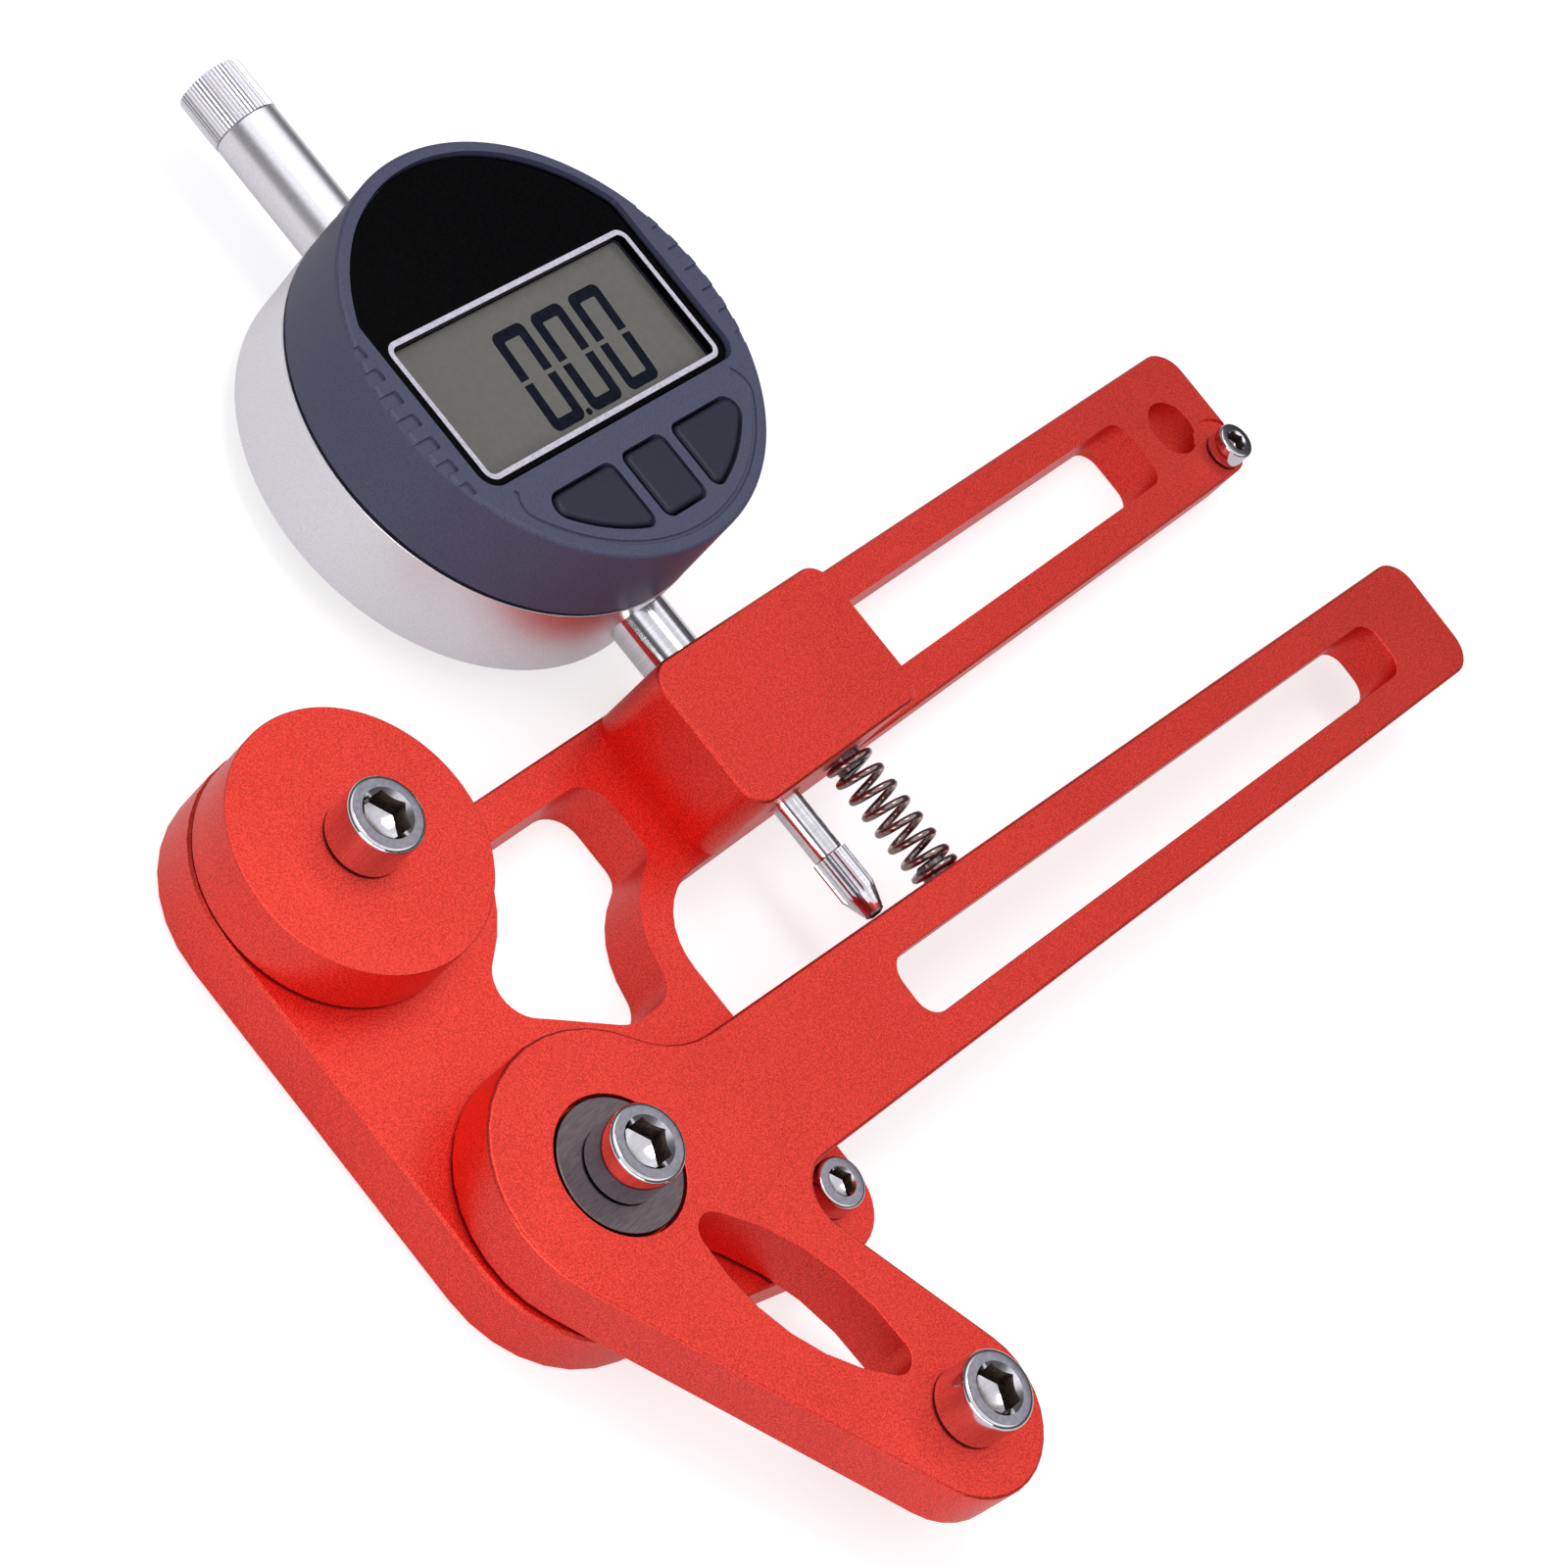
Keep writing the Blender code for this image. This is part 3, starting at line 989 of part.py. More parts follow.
def scale_carriage():
    """The block on the spindle: it slides on the guide rod and carries the scale over the sensor board."""
    margin = CARRIAGE_MARGIN
    low_y = CARRIAGE_REST - 0.5 * CARRIAGE_LENGTH
    high_y = CARRIAGE_REST + 0.5 * CARRIAGE_LENGTH
    low_z = AXLE_HEIGHT - CARRIAGE_DROP
    body = box((INDICATOR_X - SENSOR_BOARD_OFFSET, low_y, low_z),
               (INDICATOR_X + ROD_OFFSET + margin, high_y, AXLE_HEIGHT + CARRIAGE_RISE))
    carriage = add_object("scale_carriage", body, "white_nylon")
    scale_low = COVER_TOP + SEAT_GAP + BOARD_THICKNESS + SCALE_AIR
    centre_x = INDICATOR_X - SENSOR_BOARD_OFFSET
    scale = box((centre_x - 0.5 * SENSOR_BOARD_WIDTH, low_y, scale_low),
                (centre_x + 0.5 * SENSOR_BOARD_WIDTH, high_y, scale_low + SCALE_THICKNESS))
    join(carriage, add_object("join_scale", scale, None))
    for name, offset, radius in (("spindle", 0.0, SPINDLE_RADIUS), ("rod", ROD_OFFSET, ROD_RADIUS)):
        cut(carriage, cross_hole("cut_carriage_" + name, AXLE + Vector((offset, 0.0, 0.0)), radius + SEAT_GAP,
                                 low_y - OVERRUN, high_y + OVERRUN))


def glass_rounds():
    """Outline of the display window: a wide arc over a square-cornered lower half."""
    shoulder_x = GLASS_HALF_WIDTH - GLASS_SHOULDER
    shoulder = plumb_with(shoulder_x, PIVOT, GLASS_RADIUS - GLASS_SHOULDER, 1)
    corner_x = GLASS_HALF_WIDTH - GLASS_CORNER
    corner_y = GLASS_CORNER - GLASS_DROP
    return [disc(corner_x, corner_y, GLASS_CORNER), disc(shoulder.x, shoulder.y, GLASS_SHOULDER),
            disc(0.0, 0.0, GLASS_RADIUS), disc(-shoulder.x, shoulder.y, GLASS_SHOULDER),
            disc(-corner_x, corner_y, GLASS_CORNER)]


def rectangle_rounds(half_width, low, high, corner):
    """Outline of a rectangle, centred across, with round corners."""
    x = half_width - corner
    return [disc(-x, low + corner, corner), disc(x, low + corner, corner),
            disc(x, high - corner, corner), disc(-x, high - corner, corner)]


def side_button_rounds(side):
    """Outline of an outer button: two straight sides closed by an arc round the indicator's axis."""
    near_x = SIDE_BUTTON_NEAR + BUTTON_CORNER
    near_low = plumb_with(near_x, PIVOT, SIDE_BUTTON_SWEEP - BUTTON_CORNER, -1)
    far = level_with(-BUTTON_TOP - BUTTON_HEEL, PIVOT, SIDE_BUTTON_SWEEP - BUTTON_HEEL, RIGHT_HALF)
    rounds = [(near_x, -BUTTON_TOP - BUTTON_CORNER, BUTTON_CORNER), (near_x, near_low.y, BUTTON_CORNER),
              (0.0, 0.0, SIDE_BUTTON_SWEEP), (far.x, far.y, BUTTON_HEEL)]
    if side < 0:
        rounds = [(-x, y, radius) for x, y, radius in reversed(rounds)]
    return [disc(x, y, radius) for x, y, radius in rounds]


def grip_comb(side):
    """A comb of blocks that cuts the finger notches into one side of the bezel's rim."""
    shape = bmesh.new()
    for index in range(GRIPS):
        middle = (index - 0.5 * (GRIPS - 1)) * GRIP_PITCH
        ends = sorted((side * GRIP_CHORD, side * (BEZEL_RADIUS + OVERRUN)))
        corners = []
        for z in (BEZEL_FRONT - GRIP_DEPTH, BEZEL_FRONT + OVERRUN):
            for x, y in ((ends[0], -1), (ends[1], -1), (ends[1], 1), (ends[0], 1)):
                corners.append(shape.verts.new((x, middle + y * 0.5 * GRIP_WIDTH, z)))
        for face in ((3, 2, 1, 0), (4, 5, 6, 7), (0, 1, 5, 4), (1, 2, 6, 5), (2, 3, 7, 6), (3, 0, 4, 7)):
            shape.faces.new([corners[index] for index in face])
    return shape


def bezel(face_axis):
    """The turning plastic face: a deep cup with a window recess, three button holes and finger notches."""
    ledge = MAIN_BOARD_TOP + SEAT_GAP
    top_radius = BEZEL_RADIUS - BEZEL_DRAFT
    groove = CLIP_CENTRE + CLIP_GROOVE
    round_off = BEZEL_ROUND_SHARE * BEZEL_EDGE
    profile = [
        (0.0, BEZEL_FRONT), (top_radius - BEZEL_EDGE, BEZEL_FRONT),
        (top_radius - round_off, BEZEL_FRONT - round_off),
        (top_radius, BEZEL_FRONT - BEZEL_EDGE), (BEZEL_RADIUS, BEZEL_BASE + EDGE_BREAK),
        (BEZEL_RADIUS - EDGE_BREAK, BEZEL_BASE), (BEZEL_BORE, BEZEL_BASE),
        (BEZEL_BORE, CLIP_LEVEL - CLIP_GROOVE), (groove, CLIP_LEVEL - CLIP_GROOVE),
        (groove, CLIP_LEVEL + CLIP_GROOVE), (BEZEL_BORE, CLIP_LEVEL + CLIP_GROOVE), (BEZEL_BORE, ledge),
        (LEDGE_BORE, ledge), (LEDGE_BORE, FACE_LOW), (0.0, FACE_LOW),
    ]
    face = add_object("bezel", turned(profile, FINE_STEPS), "slate_plastic", parent=face_axis)
    above = BEZEL_FRONT + OVERRUN
    recess_levels = [(GLASS_LOW - SEAT_GAP, -SEAT_GAP), (above, -SEAT_GAP)]
    cut(face, add_object("cut_glass_recess", prism(glass_rounds(), recess_levels), None, parent=face_axis))
    opening = rectangle_rounds(LCD_HALF_WIDTH, -LCD_LOW, LCD_HIGH, LCD_CORNER)
    opening_levels = [(FACE_LOW - OVERRUN, -SEAT_GAP), (above, -SEAT_GAP)]
    cut(face, add_object("cut_lcd_opening", prism(opening, opening_levels), None, parent=face_axis))
    hole_levels = [(button_low() - BUTTON_TRAVEL - SEAT_GAP, -SEAT_GAP), (above, -SEAT_GAP)]
    for name, rounds in button_outlines().items():
        cut(face, add_object("cut_hole_" + name, prism(rounds, hole_levels), None, parent=face_axis))
    for name, side in (("left", LEFT_HALF), ("right", RIGHT_HALF)):
        cut(face, add_object("cut_grip_" + name, grip_comb(side), None, parent=face_axis))
    return face


def button_low():
    """Height of the buttons' undersides, one travel and a gap above the keypad mat."""
    return MAIN_BOARD_TOP + SEAT_GAP + MAT_THICKNESS + BUTTON_TRAVEL + SEAT_GAP


def button_outlines():
    return {
        "unit_button": side_button_rounds(LEFT_HALF),
        "power_button": rectangle_rounds(POWER_HALF_WIDTH, -POWER_LOW, -BUTTON_TOP, BUTTON_CORNER),
        "zero_button": side_button_rounds(RIGHT_HALF),
    }


def bezel_pieces():
    """All that turns with the bezel: window, display, boards, keypad mat and buttons."""
    face_axis = add_empty("bezel_axis", INDICATOR)
    bezel(face_axis)
    add_object("display_window", prism(glass_rounds(), plain(GLASS_LOW, GLASS_TOP)), "black_acrylic",
               parent=face_axis)
    lcd = rectangle_rounds(LCD_HALF_WIDTH, -LCD_LOW, LCD_HIGH, LCD_CORNER)
    panel = prism(lcd, plain(LCD_TOP - LCD_THICKNESS, LCD_TOP))
    add_object("lcd_panel", panel, "lcd_glass", parent=face_axis)
    board = rod(BEZEL_BORE - SEAT_GAP, MAIN_BOARD_TOP - MAIN_BOARD_THICKNESS, MAIN_BOARD_TOP, FINE_STEPS)
    add_object("circuit_board", board, "circuit_laminate", parent=face_axis)
    mat_low = MAIN_BOARD_TOP + SEAT_GAP
    mat = rectangle_rounds(MAT_HALF_WIDTH, -MAT_LOW, -MAT_HIGH, MAT_CORNER)
    add_object("keypad_mat", prism(mat, plain(mat_low, mat_low + MAT_THICKNESS)), "rubber", parent=face_axis)
    top = BEZEL_FRONT + BUTTON_PROUD
    for name, rounds in button_outlines().items():
        levels = [(button_low(), 0.0), (top - EDGE_BREAK, 0.0), (top, EDGE_BREAK)]
        add_object(name, prism(rounds, levels), "dark_plastic", parent=face_axis)


def clip_ring():
    """The open wire ring that keeps the bezel on the case's spigot."""
    points = []
    span = FULL_TURN - CLIP_RING_OPENING
    for index in range(FINE_STEPS + 1):
        angle = QUARTER_TURN + 0.5 * CLIP_RING_OPENING + span * index / FINE_STEPS
        points.append(INDICATOR + Vector((CLIP_CENTRE * math.cos(angle), CLIP_CENTRE * math.sin(angle),
                                          CLIP_LEVEL)))
    return wire("bezel_clip_ring", points, CLIP_RING_RADIUS, "spring_steel")


def main():
    for old in list(bpy.data.objects):
        bpy.data.objects.remove(old, do_unlink=True)
    rear_plate()
    spacer_disc()
    post_screw("upper_post_screw", UPPER_POST, UPPER_SHANK_LENGTH)
    post_screw("pivot_post_screw", PIVOT, UPPER_SHANK_LENGTH)
    stop_screw()
    end_stop_screw()
    clamp_screw()
    pivot_pieces()

    arm_axis = add_empty("arm_axis", PIVOT, (0.0, 0.0, REST_ANGLE))
    front_plate(arm_axis)
    post_screw("lower_post_screw", LOWER_POST, LOWER_SHANK_LENGTH, arm_axis)
    spring_pins(arm_axis)
    return_spring()

    indicator_case()
    back_cover()
    case_inner_pieces()
    stem_and_tube()
    spindle_pieces()
    spindle_spring()
    bezel_pieces()
    clip_ring()


main()
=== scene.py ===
# %% [markdown]
# # Spoke tension meter
# Two flat red arms turn against each other on a pivot. A bicycle spoke goes between the three posts at
# their left end, a spring pushes the arms apart, and a digital plunger indicator reads how far they close.
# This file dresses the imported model: it makes finer pieces over the plain solids, gives each one the finish
# that the real tool has, and sets up a small photo studio. Every length is in metres.

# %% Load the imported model
import json
import math

import bmesh
import bpy
from mathutils import Matrix, Vector


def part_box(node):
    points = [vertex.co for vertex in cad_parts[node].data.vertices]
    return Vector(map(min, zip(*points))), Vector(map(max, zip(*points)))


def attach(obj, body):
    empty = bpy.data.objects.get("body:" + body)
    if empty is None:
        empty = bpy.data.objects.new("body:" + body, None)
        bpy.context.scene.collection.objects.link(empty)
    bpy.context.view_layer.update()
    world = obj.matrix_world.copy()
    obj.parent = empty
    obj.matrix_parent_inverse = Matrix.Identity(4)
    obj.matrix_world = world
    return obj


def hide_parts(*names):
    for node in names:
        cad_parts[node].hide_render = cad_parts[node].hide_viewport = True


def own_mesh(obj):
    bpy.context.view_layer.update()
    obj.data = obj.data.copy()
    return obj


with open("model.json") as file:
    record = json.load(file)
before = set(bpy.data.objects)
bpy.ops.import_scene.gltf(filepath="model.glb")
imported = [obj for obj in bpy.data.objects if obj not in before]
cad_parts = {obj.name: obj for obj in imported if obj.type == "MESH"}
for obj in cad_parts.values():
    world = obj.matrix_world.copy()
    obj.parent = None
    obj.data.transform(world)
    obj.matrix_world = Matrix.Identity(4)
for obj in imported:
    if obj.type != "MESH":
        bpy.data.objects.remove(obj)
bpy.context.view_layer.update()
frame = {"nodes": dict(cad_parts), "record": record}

RECORD = frame["record"]
BODY_OF = {node: body for body, nodes in RECORD["behaviour"]["bodies"].items() for node in nodes}
FULL_TURN = 2.0 * math.pi
ALONG_Y = Matrix.Rotation(math.radians(-90.0), 3, "X")

# %% [markdown]
# ## Colours and nodes
# Paint charts and photographs give colours as sRGB hex codes, but Blender mixes light in linear values, so
# one function turns one into the other. A second small function adds any shader node, sets its values and
# links what feeds it, which keeps each finish short enough to read.

# %% Two helpers for finishes
def linear_colour(code):
    """An sRGB colour such as #C8322D as linear red, green, blue and full alpha."""
    channels = [int(code[i:i + 2], 16) / 255.0 for i in (1, 3, 5)]
    linear = [c / 12.92 if c <= 0.04045 else ((c + 0.055) / 1.055) ** 2.4 for c in channels]
    return linear + [1.0]


def add_node(tree, kind, inputs=None, **settings):
    """Add a node: settings are its own properties, inputs are constants or the sockets that feed it."""
    node = tree.nodes.new(kind)
    for name, value in settings.items():
        setattr(node, name, value)
    for name, value in (inputs or {}).items():
        if isinstance(value, bpy.types.NodeSocket):
            tree.links.new(value, node.inputs[name])
        else:
            node.inputs[name].default_value = value
    return node


def new_finish(name):
    """An empty material with its shader, and the place of each point on the piece."""
    finish = bpy.data.materials.new(name)
    finish.use_nodes = True
    tree = finish.node_tree
    place = add_node(tree, "ShaderNodeTexCoord").outputs["Object"]
    return finish, tree, tree.nodes["Principled BSDF"], place


def set_shader(shader, **values):
    """Write constant values straight onto the shader's own sockets."""
    for name, value in values.items():
        shader.inputs[name.replace("_", " ")].default_value = value


def two_tone(tree, source, dark, light, low=0.35, high=0.65):
    """Spread a 0 to 1 pattern between two colours."""
    ramp = add_node(tree, "ShaderNodeValToRGB", {"Fac": source})
    ramp.color_ramp.elements[0].position = low
    ramp.color_ramp.elements[0].color = linear_colour(dark)
    ramp.color_ramp.elements[1].position = high
    ramp.color_ramp.elements[1].color = linear_colour(light)
    return ramp.outputs["Color"]


def spread(tree, source, low, high):
    """Spread a 0 to 1 pattern between two numbers."""
    mapped = add_node(tree, "ShaderNodeMapRange", {"Value": source, "To Min": low, "To Max": high})
    return mapped.outputs["Result"]


print("helpers ready; middle grey #808080 is", round(linear_colour("#808080")[0], 3))

# %% [markdown]
# ## Bead-blasted red anodised aluminium
# Glass beads leave the plates with fine even pits, and the red dye then sits in a thin clear oxide skin over
# bright metal. To the eye that is a saturated metallic red with a soft wide highlight and a tiny sparkle.
# So the shader is a metal tinted red, rough, under a weak clear coat, and a noise pattern at the size of the
# pits, 0.2 mm, moves its colour, its roughness and its bumps. A second, wider pattern stands for the slight
# clouds that a dye bath leaves. The noise is tilted, because a flat face that lies along its grid looks bare.

# %% Red plates
PIT_WIDTH = 0.00020
PIT_DEPTH = 0.000008
PIT_TILT = (0.83, 0.37, 0.55)
CLOUD_WIDTH = 0.018

red_anodised, tree, shader, place = new_finish("bead_blasted_red_anodised_aluminium")
tilted = add_node(tree, "ShaderNodeMapping", {"Vector": place, "Rotation": PIT_TILT}).outputs["Vector"]
pits = add_node(tree, "ShaderNodeTexNoise", {"Vector": tilted, "Scale": 1.0 / PIT_WIDTH, "Detail": 1.5})
pits = pits.outputs["Fac"]
clouds = add_node(tree, "ShaderNodeTexNoise", {"Vector": place, "Scale": 1.0 / CLOUD_WIDTH}).outputs["Fac"]
mixed = add_node(tree, "ShaderNodeMath", {0: pits, 1: spread(tree, clouds, -0.06, 0.06)}, operation="ADD")
tree.links.new(two_tone(tree, mixed.outputs[0], "#CE372D", "#FF4F42"), shader.inputs["Base Color"])
tree.links.new(spread(tree, pits, 0.36, 0.46), shader.inputs["Roughness"])
bump = add_node(tree, "ShaderNodeBump", {"Height": pits, "Distance": PIT_DEPTH, "Strength": 0.5})
tree.links.new(bump.outputs["Normal"], shader.inputs["Normal"])
set_shader(shader, Metallic=0.95, Coat_Weight=0.10, Coat_Roughness=0.35)
print("made", red_anodised.name)

# %% [markdown]
# ## Bright metals
# The posts and stop screws are nickel-plated and polished, the plunger's rods are ground and polished round
# their axes, and the indicator's case is satin chrome. All three are plain metals, so most of what the eye
# sees is the studio. What tells them apart is roughness: faint handling marks on the screws, fine rings on
# the rods, and an even soft grain on the case. The back cover is left as the lathe made it, in rings round
# its middle. The real grain and rings are finer than a picture shows, so they are drawn 0.2 to 0.3 mm wide.

# %% Polished screws
SCUFF_WIDTH = 0.0006

polished_nickel, tree, shader, place = new_finish("polished_nickel_plated_steel")
scuffs = add_node(tree, "ShaderNodeTexNoise", {"Vector": place, "Scale": 1.0 / SCUFF_WIDTH, "Detail": 4.0})
scuffs = scuffs.outputs["Fac"]
tree.links.new(two_tone(tree, scuffs, "#7C7A82", "#8C8A91"), shader.inputs["Base Color"])
tree.links.new(spread(tree, scuffs, 0.07, 0.13), shader.inputs["Roughness"])
set_shader(shader, Metallic=1.0)
print("made", polished_nickel.name)

# %% Ground rods
RING_PITCH = 0.00030
RING_DEPTH = 0.0000002
RING_STRETCH = 60.0

ground_steel, tree, shader, place = new_finish("ground_steel")
stretched = add_node(tree, "ShaderNodeMapping",
                     {"Vector": place, "Scale": (RING_STRETCH, 1.0 / RING_PITCH, RING_STRETCH)})
rings = add_node(tree, "ShaderNodeTexNoise",
                 {"Vector": stretched.outputs["Vector"], "Scale": 1.0, "Detail": 3.0}).outputs["Fac"]
tree.links.new(two_tone(tree, rings, "#D3D1D6", "#DFDDE2"), shader.inputs["Base Color"])
tree.links.new(spread(tree, rings, 0.08, 0.13), shader.inputs["Roughness"])
bump = add_node(tree, "ShaderNodeBump", {"Height": rings, "Distance": RING_DEPTH, "Strength": 0.4})
tree.links.new(bump.outputs["Normal"], shader.inputs["Normal"])
set_shader(shader, Metallic=1.0)
print("made", ground_steel.name)

# %% Satin chrome case
GRAIN_WIDTH = 0.00018

satin_chrome, tree, shader, place = new_finish("satin_chrome_plate")
grain = add_node(tree, "ShaderNodeTexNoise", {"Vector": place, "Scale": 1.0 / GRAIN_WIDTH, "Detail": 2.0})
grain = grain.outputs["Fac"]
tree.links.new(two_tone(tree, grain, "#E3E1E7", "#F2F0F5"), shader.inputs["Base Color"])
tree.links.new(spread(tree, grain, 0.27, 0.36), shader.inputs["Roughness"])
set_shader(shader, Metallic=1.0)
print("made", satin_chrome.name)

# %% Lathe-turned back cover
# Blender's ring wave repeats every 0.314 of a unit at a scale of 1.
WAVE_REPEAT = 0.314
TURNING_PITCH = 0.00035
TURNING_DEPTH = 0.000003
cover_low, cover_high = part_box("back_cover")
INDICATOR = 0.5 * (cover_low + cover_high)
INDICATOR.z = 0.0

turned_aluminium, tree, shader, place = new_finish("lathe_turned_aluminium")
centred = add_node(tree, "ShaderNodeMapping", {"Vector": place, "Location": -INDICATOR})
turning = add_node(tree, "ShaderNodeTexWave",
                   {"Vector": centred.outputs["Vector"], "Scale": WAVE_REPEAT / TURNING_PITCH,
                    "Distortion": 0.4},
                   wave_type="RINGS", rings_direction="Z")
turning = turning.outputs["Fac"]
tree.links.new(two_tone(tree, turning, "#B9B7BB", "#D2D0D4"), shader.inputs["Base Color"])
tree.links.new(spread(tree, turning, 0.24, 0.38), shader.inputs["Roughness"])
bump = add_node(tree, "ShaderNodeBump", {"Height": turning, "Distance": TURNING_DEPTH, "Strength": 0.5})
tree.links.new(bump.outputs["Normal"], shader.inputs["Normal"])
set_shader(shader, Metallic=1.0)
print("made", turned_aluminium.name)

# %% [markdown]
# ## Dark steels
# The pivot's flange is blackened steel that has been handled, and the springs are oil-tempered wire, brown
# black with a bright line where the light catches each curl. Both are metals with a dark tint. The flange
# gets fine scratches 2 mm long, the wire only a slight unevenness. The third is a dull brown steel for the
# walls of the screws' sockets, which paints the shade inside those deep holes.

# %% Blackened steel and spring wire
SCRATCH_WIDTH = 0.00025
SCRATCH_LENGTH = 0.002
SCRATCH_TURN = 0.6

blackened_steel, tree, shader, place = new_finish("blackened_steel")
stretched = add_node(tree, "ShaderNodeMapping",
                     {"Vector": place, "Rotation": (0.0, 0.0, SCRATCH_TURN),
                      "Scale": (1.0 / SCRATCH_LENGTH, 1.0 / SCRATCH_WIDTH, 1.0 / SCRATCH_LENGTH)})
scratches = add_node(tree, "ShaderNodeTexNoise",
                     {"Vector": stretched.outputs["Vector"], "Scale": 1.0, "Detail": 3.0}).outputs["Fac"]
tree.links.new(two_tone(tree, scratches, "#605557", "#706568"), shader.inputs["Base Color"])
tree.links.new(spread(tree, scratches, 0.24, 0.34), shader.inputs["Roughness"])
set_shader(shader, Metallic=1.0)

spring_steel, tree, shader, place = new_finish("oil_tempered_spring_wire")
patches = add_node(tree, "ShaderNodeTexNoise", {"Vector": place, "Scale": 1.0 / SCUFF_WIDTH, "Detail": 2.0})
patches = patches.outputs["Fac"]
tree.links.new(two_tone(tree, patches, "#847573", "#9C8E8C"), shader.inputs["Base Color"])
tree.links.new(spread(tree, patches, 0.12, 0.22), shader.inputs["Roughness"])
set_shader(shader, Metallic=1.0)

# Dark brown steel for the sockets' walls: painted shade inside the deep hexagonal holes.
socket_painted_shade_steel, tree, shader, place = new_finish("socket_wall_painted_shade")
patches = add_node(tree, "ShaderNodeTexNoise", {"Vector": place, "Scale": 1.0 / SCUFF_WIDTH, "Detail": 2.0})
patches = patches.outputs["Fac"]
tree.links.new(two_tone(tree, patches, "#5A4E46", "#75685F"), shader.inputs["Base Color"])
tree.links.new(spread(tree, patches, 0.22, 0.34), shader.inputs["Roughness"])
set_shader(shader, Metallic=1.0)
print("made", blackened_steel.name, spring_steel.name, socket_painted_shade_steel.name)

# %% [markdown]
# ## Moulded plastics
# The bezel is slate blue ABS from a finely sparked mould, and its buttons are a darker, slightly rougher
# blue. Sparking leaves the plastic with a grain of about 0.1 mm that breaks up the highlight. It is drawn at
# 0.25 mm. The sheen of such a plastic is a weak clear reflection, so the metallic value is 0.

# %% Bezel and buttons
SPARK_WIDTH = 0.00025
SPARK_DEPTH = 0.000008

slate_abs, tree, shader, place = new_finish("moulded_slate_abs")
spark = add_node(tree, "ShaderNodeTexNoise", {"Vector": place, "Scale": 1.0 / SPARK_WIDTH, "Detail": 2.0})
spark = spark.outputs["Fac"]
tree.links.new(two_tone(tree, spark, "#43455C", "#4F516A"), shader.inputs["Base Color"])
tree.links.new(spread(tree, spark, 0.42, 0.54), shader.inputs["Roughness"])
bump = add_node(tree, "ShaderNodeBump", {"Height": spark, "Distance": SPARK_DEPTH, "Strength": 0.35})
tree.links.new(bump.outputs["Normal"], shader.inputs["Normal"])
set_shader(shader, IOR=1.53, Specular_IOR_Level=0.3)

dark_abs, tree, shader, place = new_finish("moulded_dark_abs")
spark = add_node(tree, "ShaderNodeTexNoise", {"Vector": place, "Scale": 1.0 / SPARK_WIDTH, "Detail": 2.0})
spark = spark.outputs["Fac"]
tree.links.new(two_tone(tree, spark, "#1D1F2E", "#27293B"), shader.inputs["Base Color"])
tree.links.new(spread(tree, spark, 0.42, 0.54), shader.inputs["Roughness"])
bump = add_node(tree, "ShaderNodeBump", {"Height": spark, "Distance": SPARK_DEPTH, "Strength": 0.35})
tree.links.new(bump.outputs["Normal"], shader.inputs["Normal"])
set_shader(shader, IOR=1.53, Specular_IOR_Level=0.3)
print("made", slate_abs.name, "and", dark_abs.name)

# %% [markdown]
# ## The display
# The window is acrylic, printed black behind with one pale line round the opening. Under it lies the display
# glass: grey-green from its reflector, faintly cloudy, with dark blue black segments. Print behind acrylic
# looks deep and shows hardly any reflection, so the window is close to black with its specular level near 0
# and only a trace of dust. The display keeps a weak sheen.

# %% Window, print and display glass
DUST_WIDTH = 0.0004
MOTTLE_WIDTH = 0.0012

black_acrylic, tree, shader, place = new_finish("back_printed_acrylic")
dust = add_node(tree, "ShaderNodeTexNoise", {"Vector": place, "Scale": 1.0 / DUST_WIDTH, "Detail": 3.0})
dust = dust.outputs["Fac"]
tree.links.new(two_tone(tree, dust, "#020203", "#070608"), shader.inputs["Base Color"])
tree.links.new(spread(tree, dust, 0.06, 0.14), shader.inputs["Roughness"])
set_shader(shader, IOR=1.49, Specular_IOR_Level=0.02)

pale_print, tree, shader, place = new_finish("pale_screen_print")
dust = add_node(tree, "ShaderNodeTexNoise", {"Vector": place, "Scale": 1.0 / DUST_WIDTH, "Detail": 3.0})
dust = dust.outputs["Fac"]
tree.links.new(two_tone(tree, dust, "#BDB9C8", "#D6D2DE"), shader.inputs["Base Color"])
set_shader(shader, Roughness=0.35)

lcd_glass, tree, shader, place = new_finish("display_glass")
mottle = add_node(tree, "ShaderNodeTexNoise", {"Vector": place, "Scale": 1.0 / MOTTLE_WIDTH, "Detail": 4.0})
mottle = mottle.outputs["Fac"]
tree.links.new(two_tone(tree, mottle, "#65635F", "#696763"), shader.inputs["Base Color"])
tree.links.new(spread(tree, mottle, 0.22, 0.32), shader.inputs["Roughness"])
set_shader(shader, IOR=1.50, Specular_IOR_Level=0.3)

lcd_ink, tree, shader, place = new_finish("display_segment")
mottle = add_node(tree, "ShaderNodeTexNoise", {"Vector": place, "Scale": 1.0 / MOTTLE_WIDTH, "Detail": 4.0})
tree.links.new(two_tone(tree, mottle.outputs["Fac"], "#0C1019", "#151A26"), shader.inputs["Base Color"])
set_shader(shader, Roughness=0.4, Specular_IOR_Level=0.05)
print("made", black_acrylic.name, pale_print.name, lcd_glass.name, lcd_ink.name)

# %% [markdown]
# ## What is inside
# Few people ever see the boards, the washer or the rubber mat, but gaps and poses show their edges. They get
# the plain finishes of such parts: green lacquer over glass weave, white nylon, grey rubber.

# %% Boards, nylon, rubber
WEAVE_PITCH = 0.0006

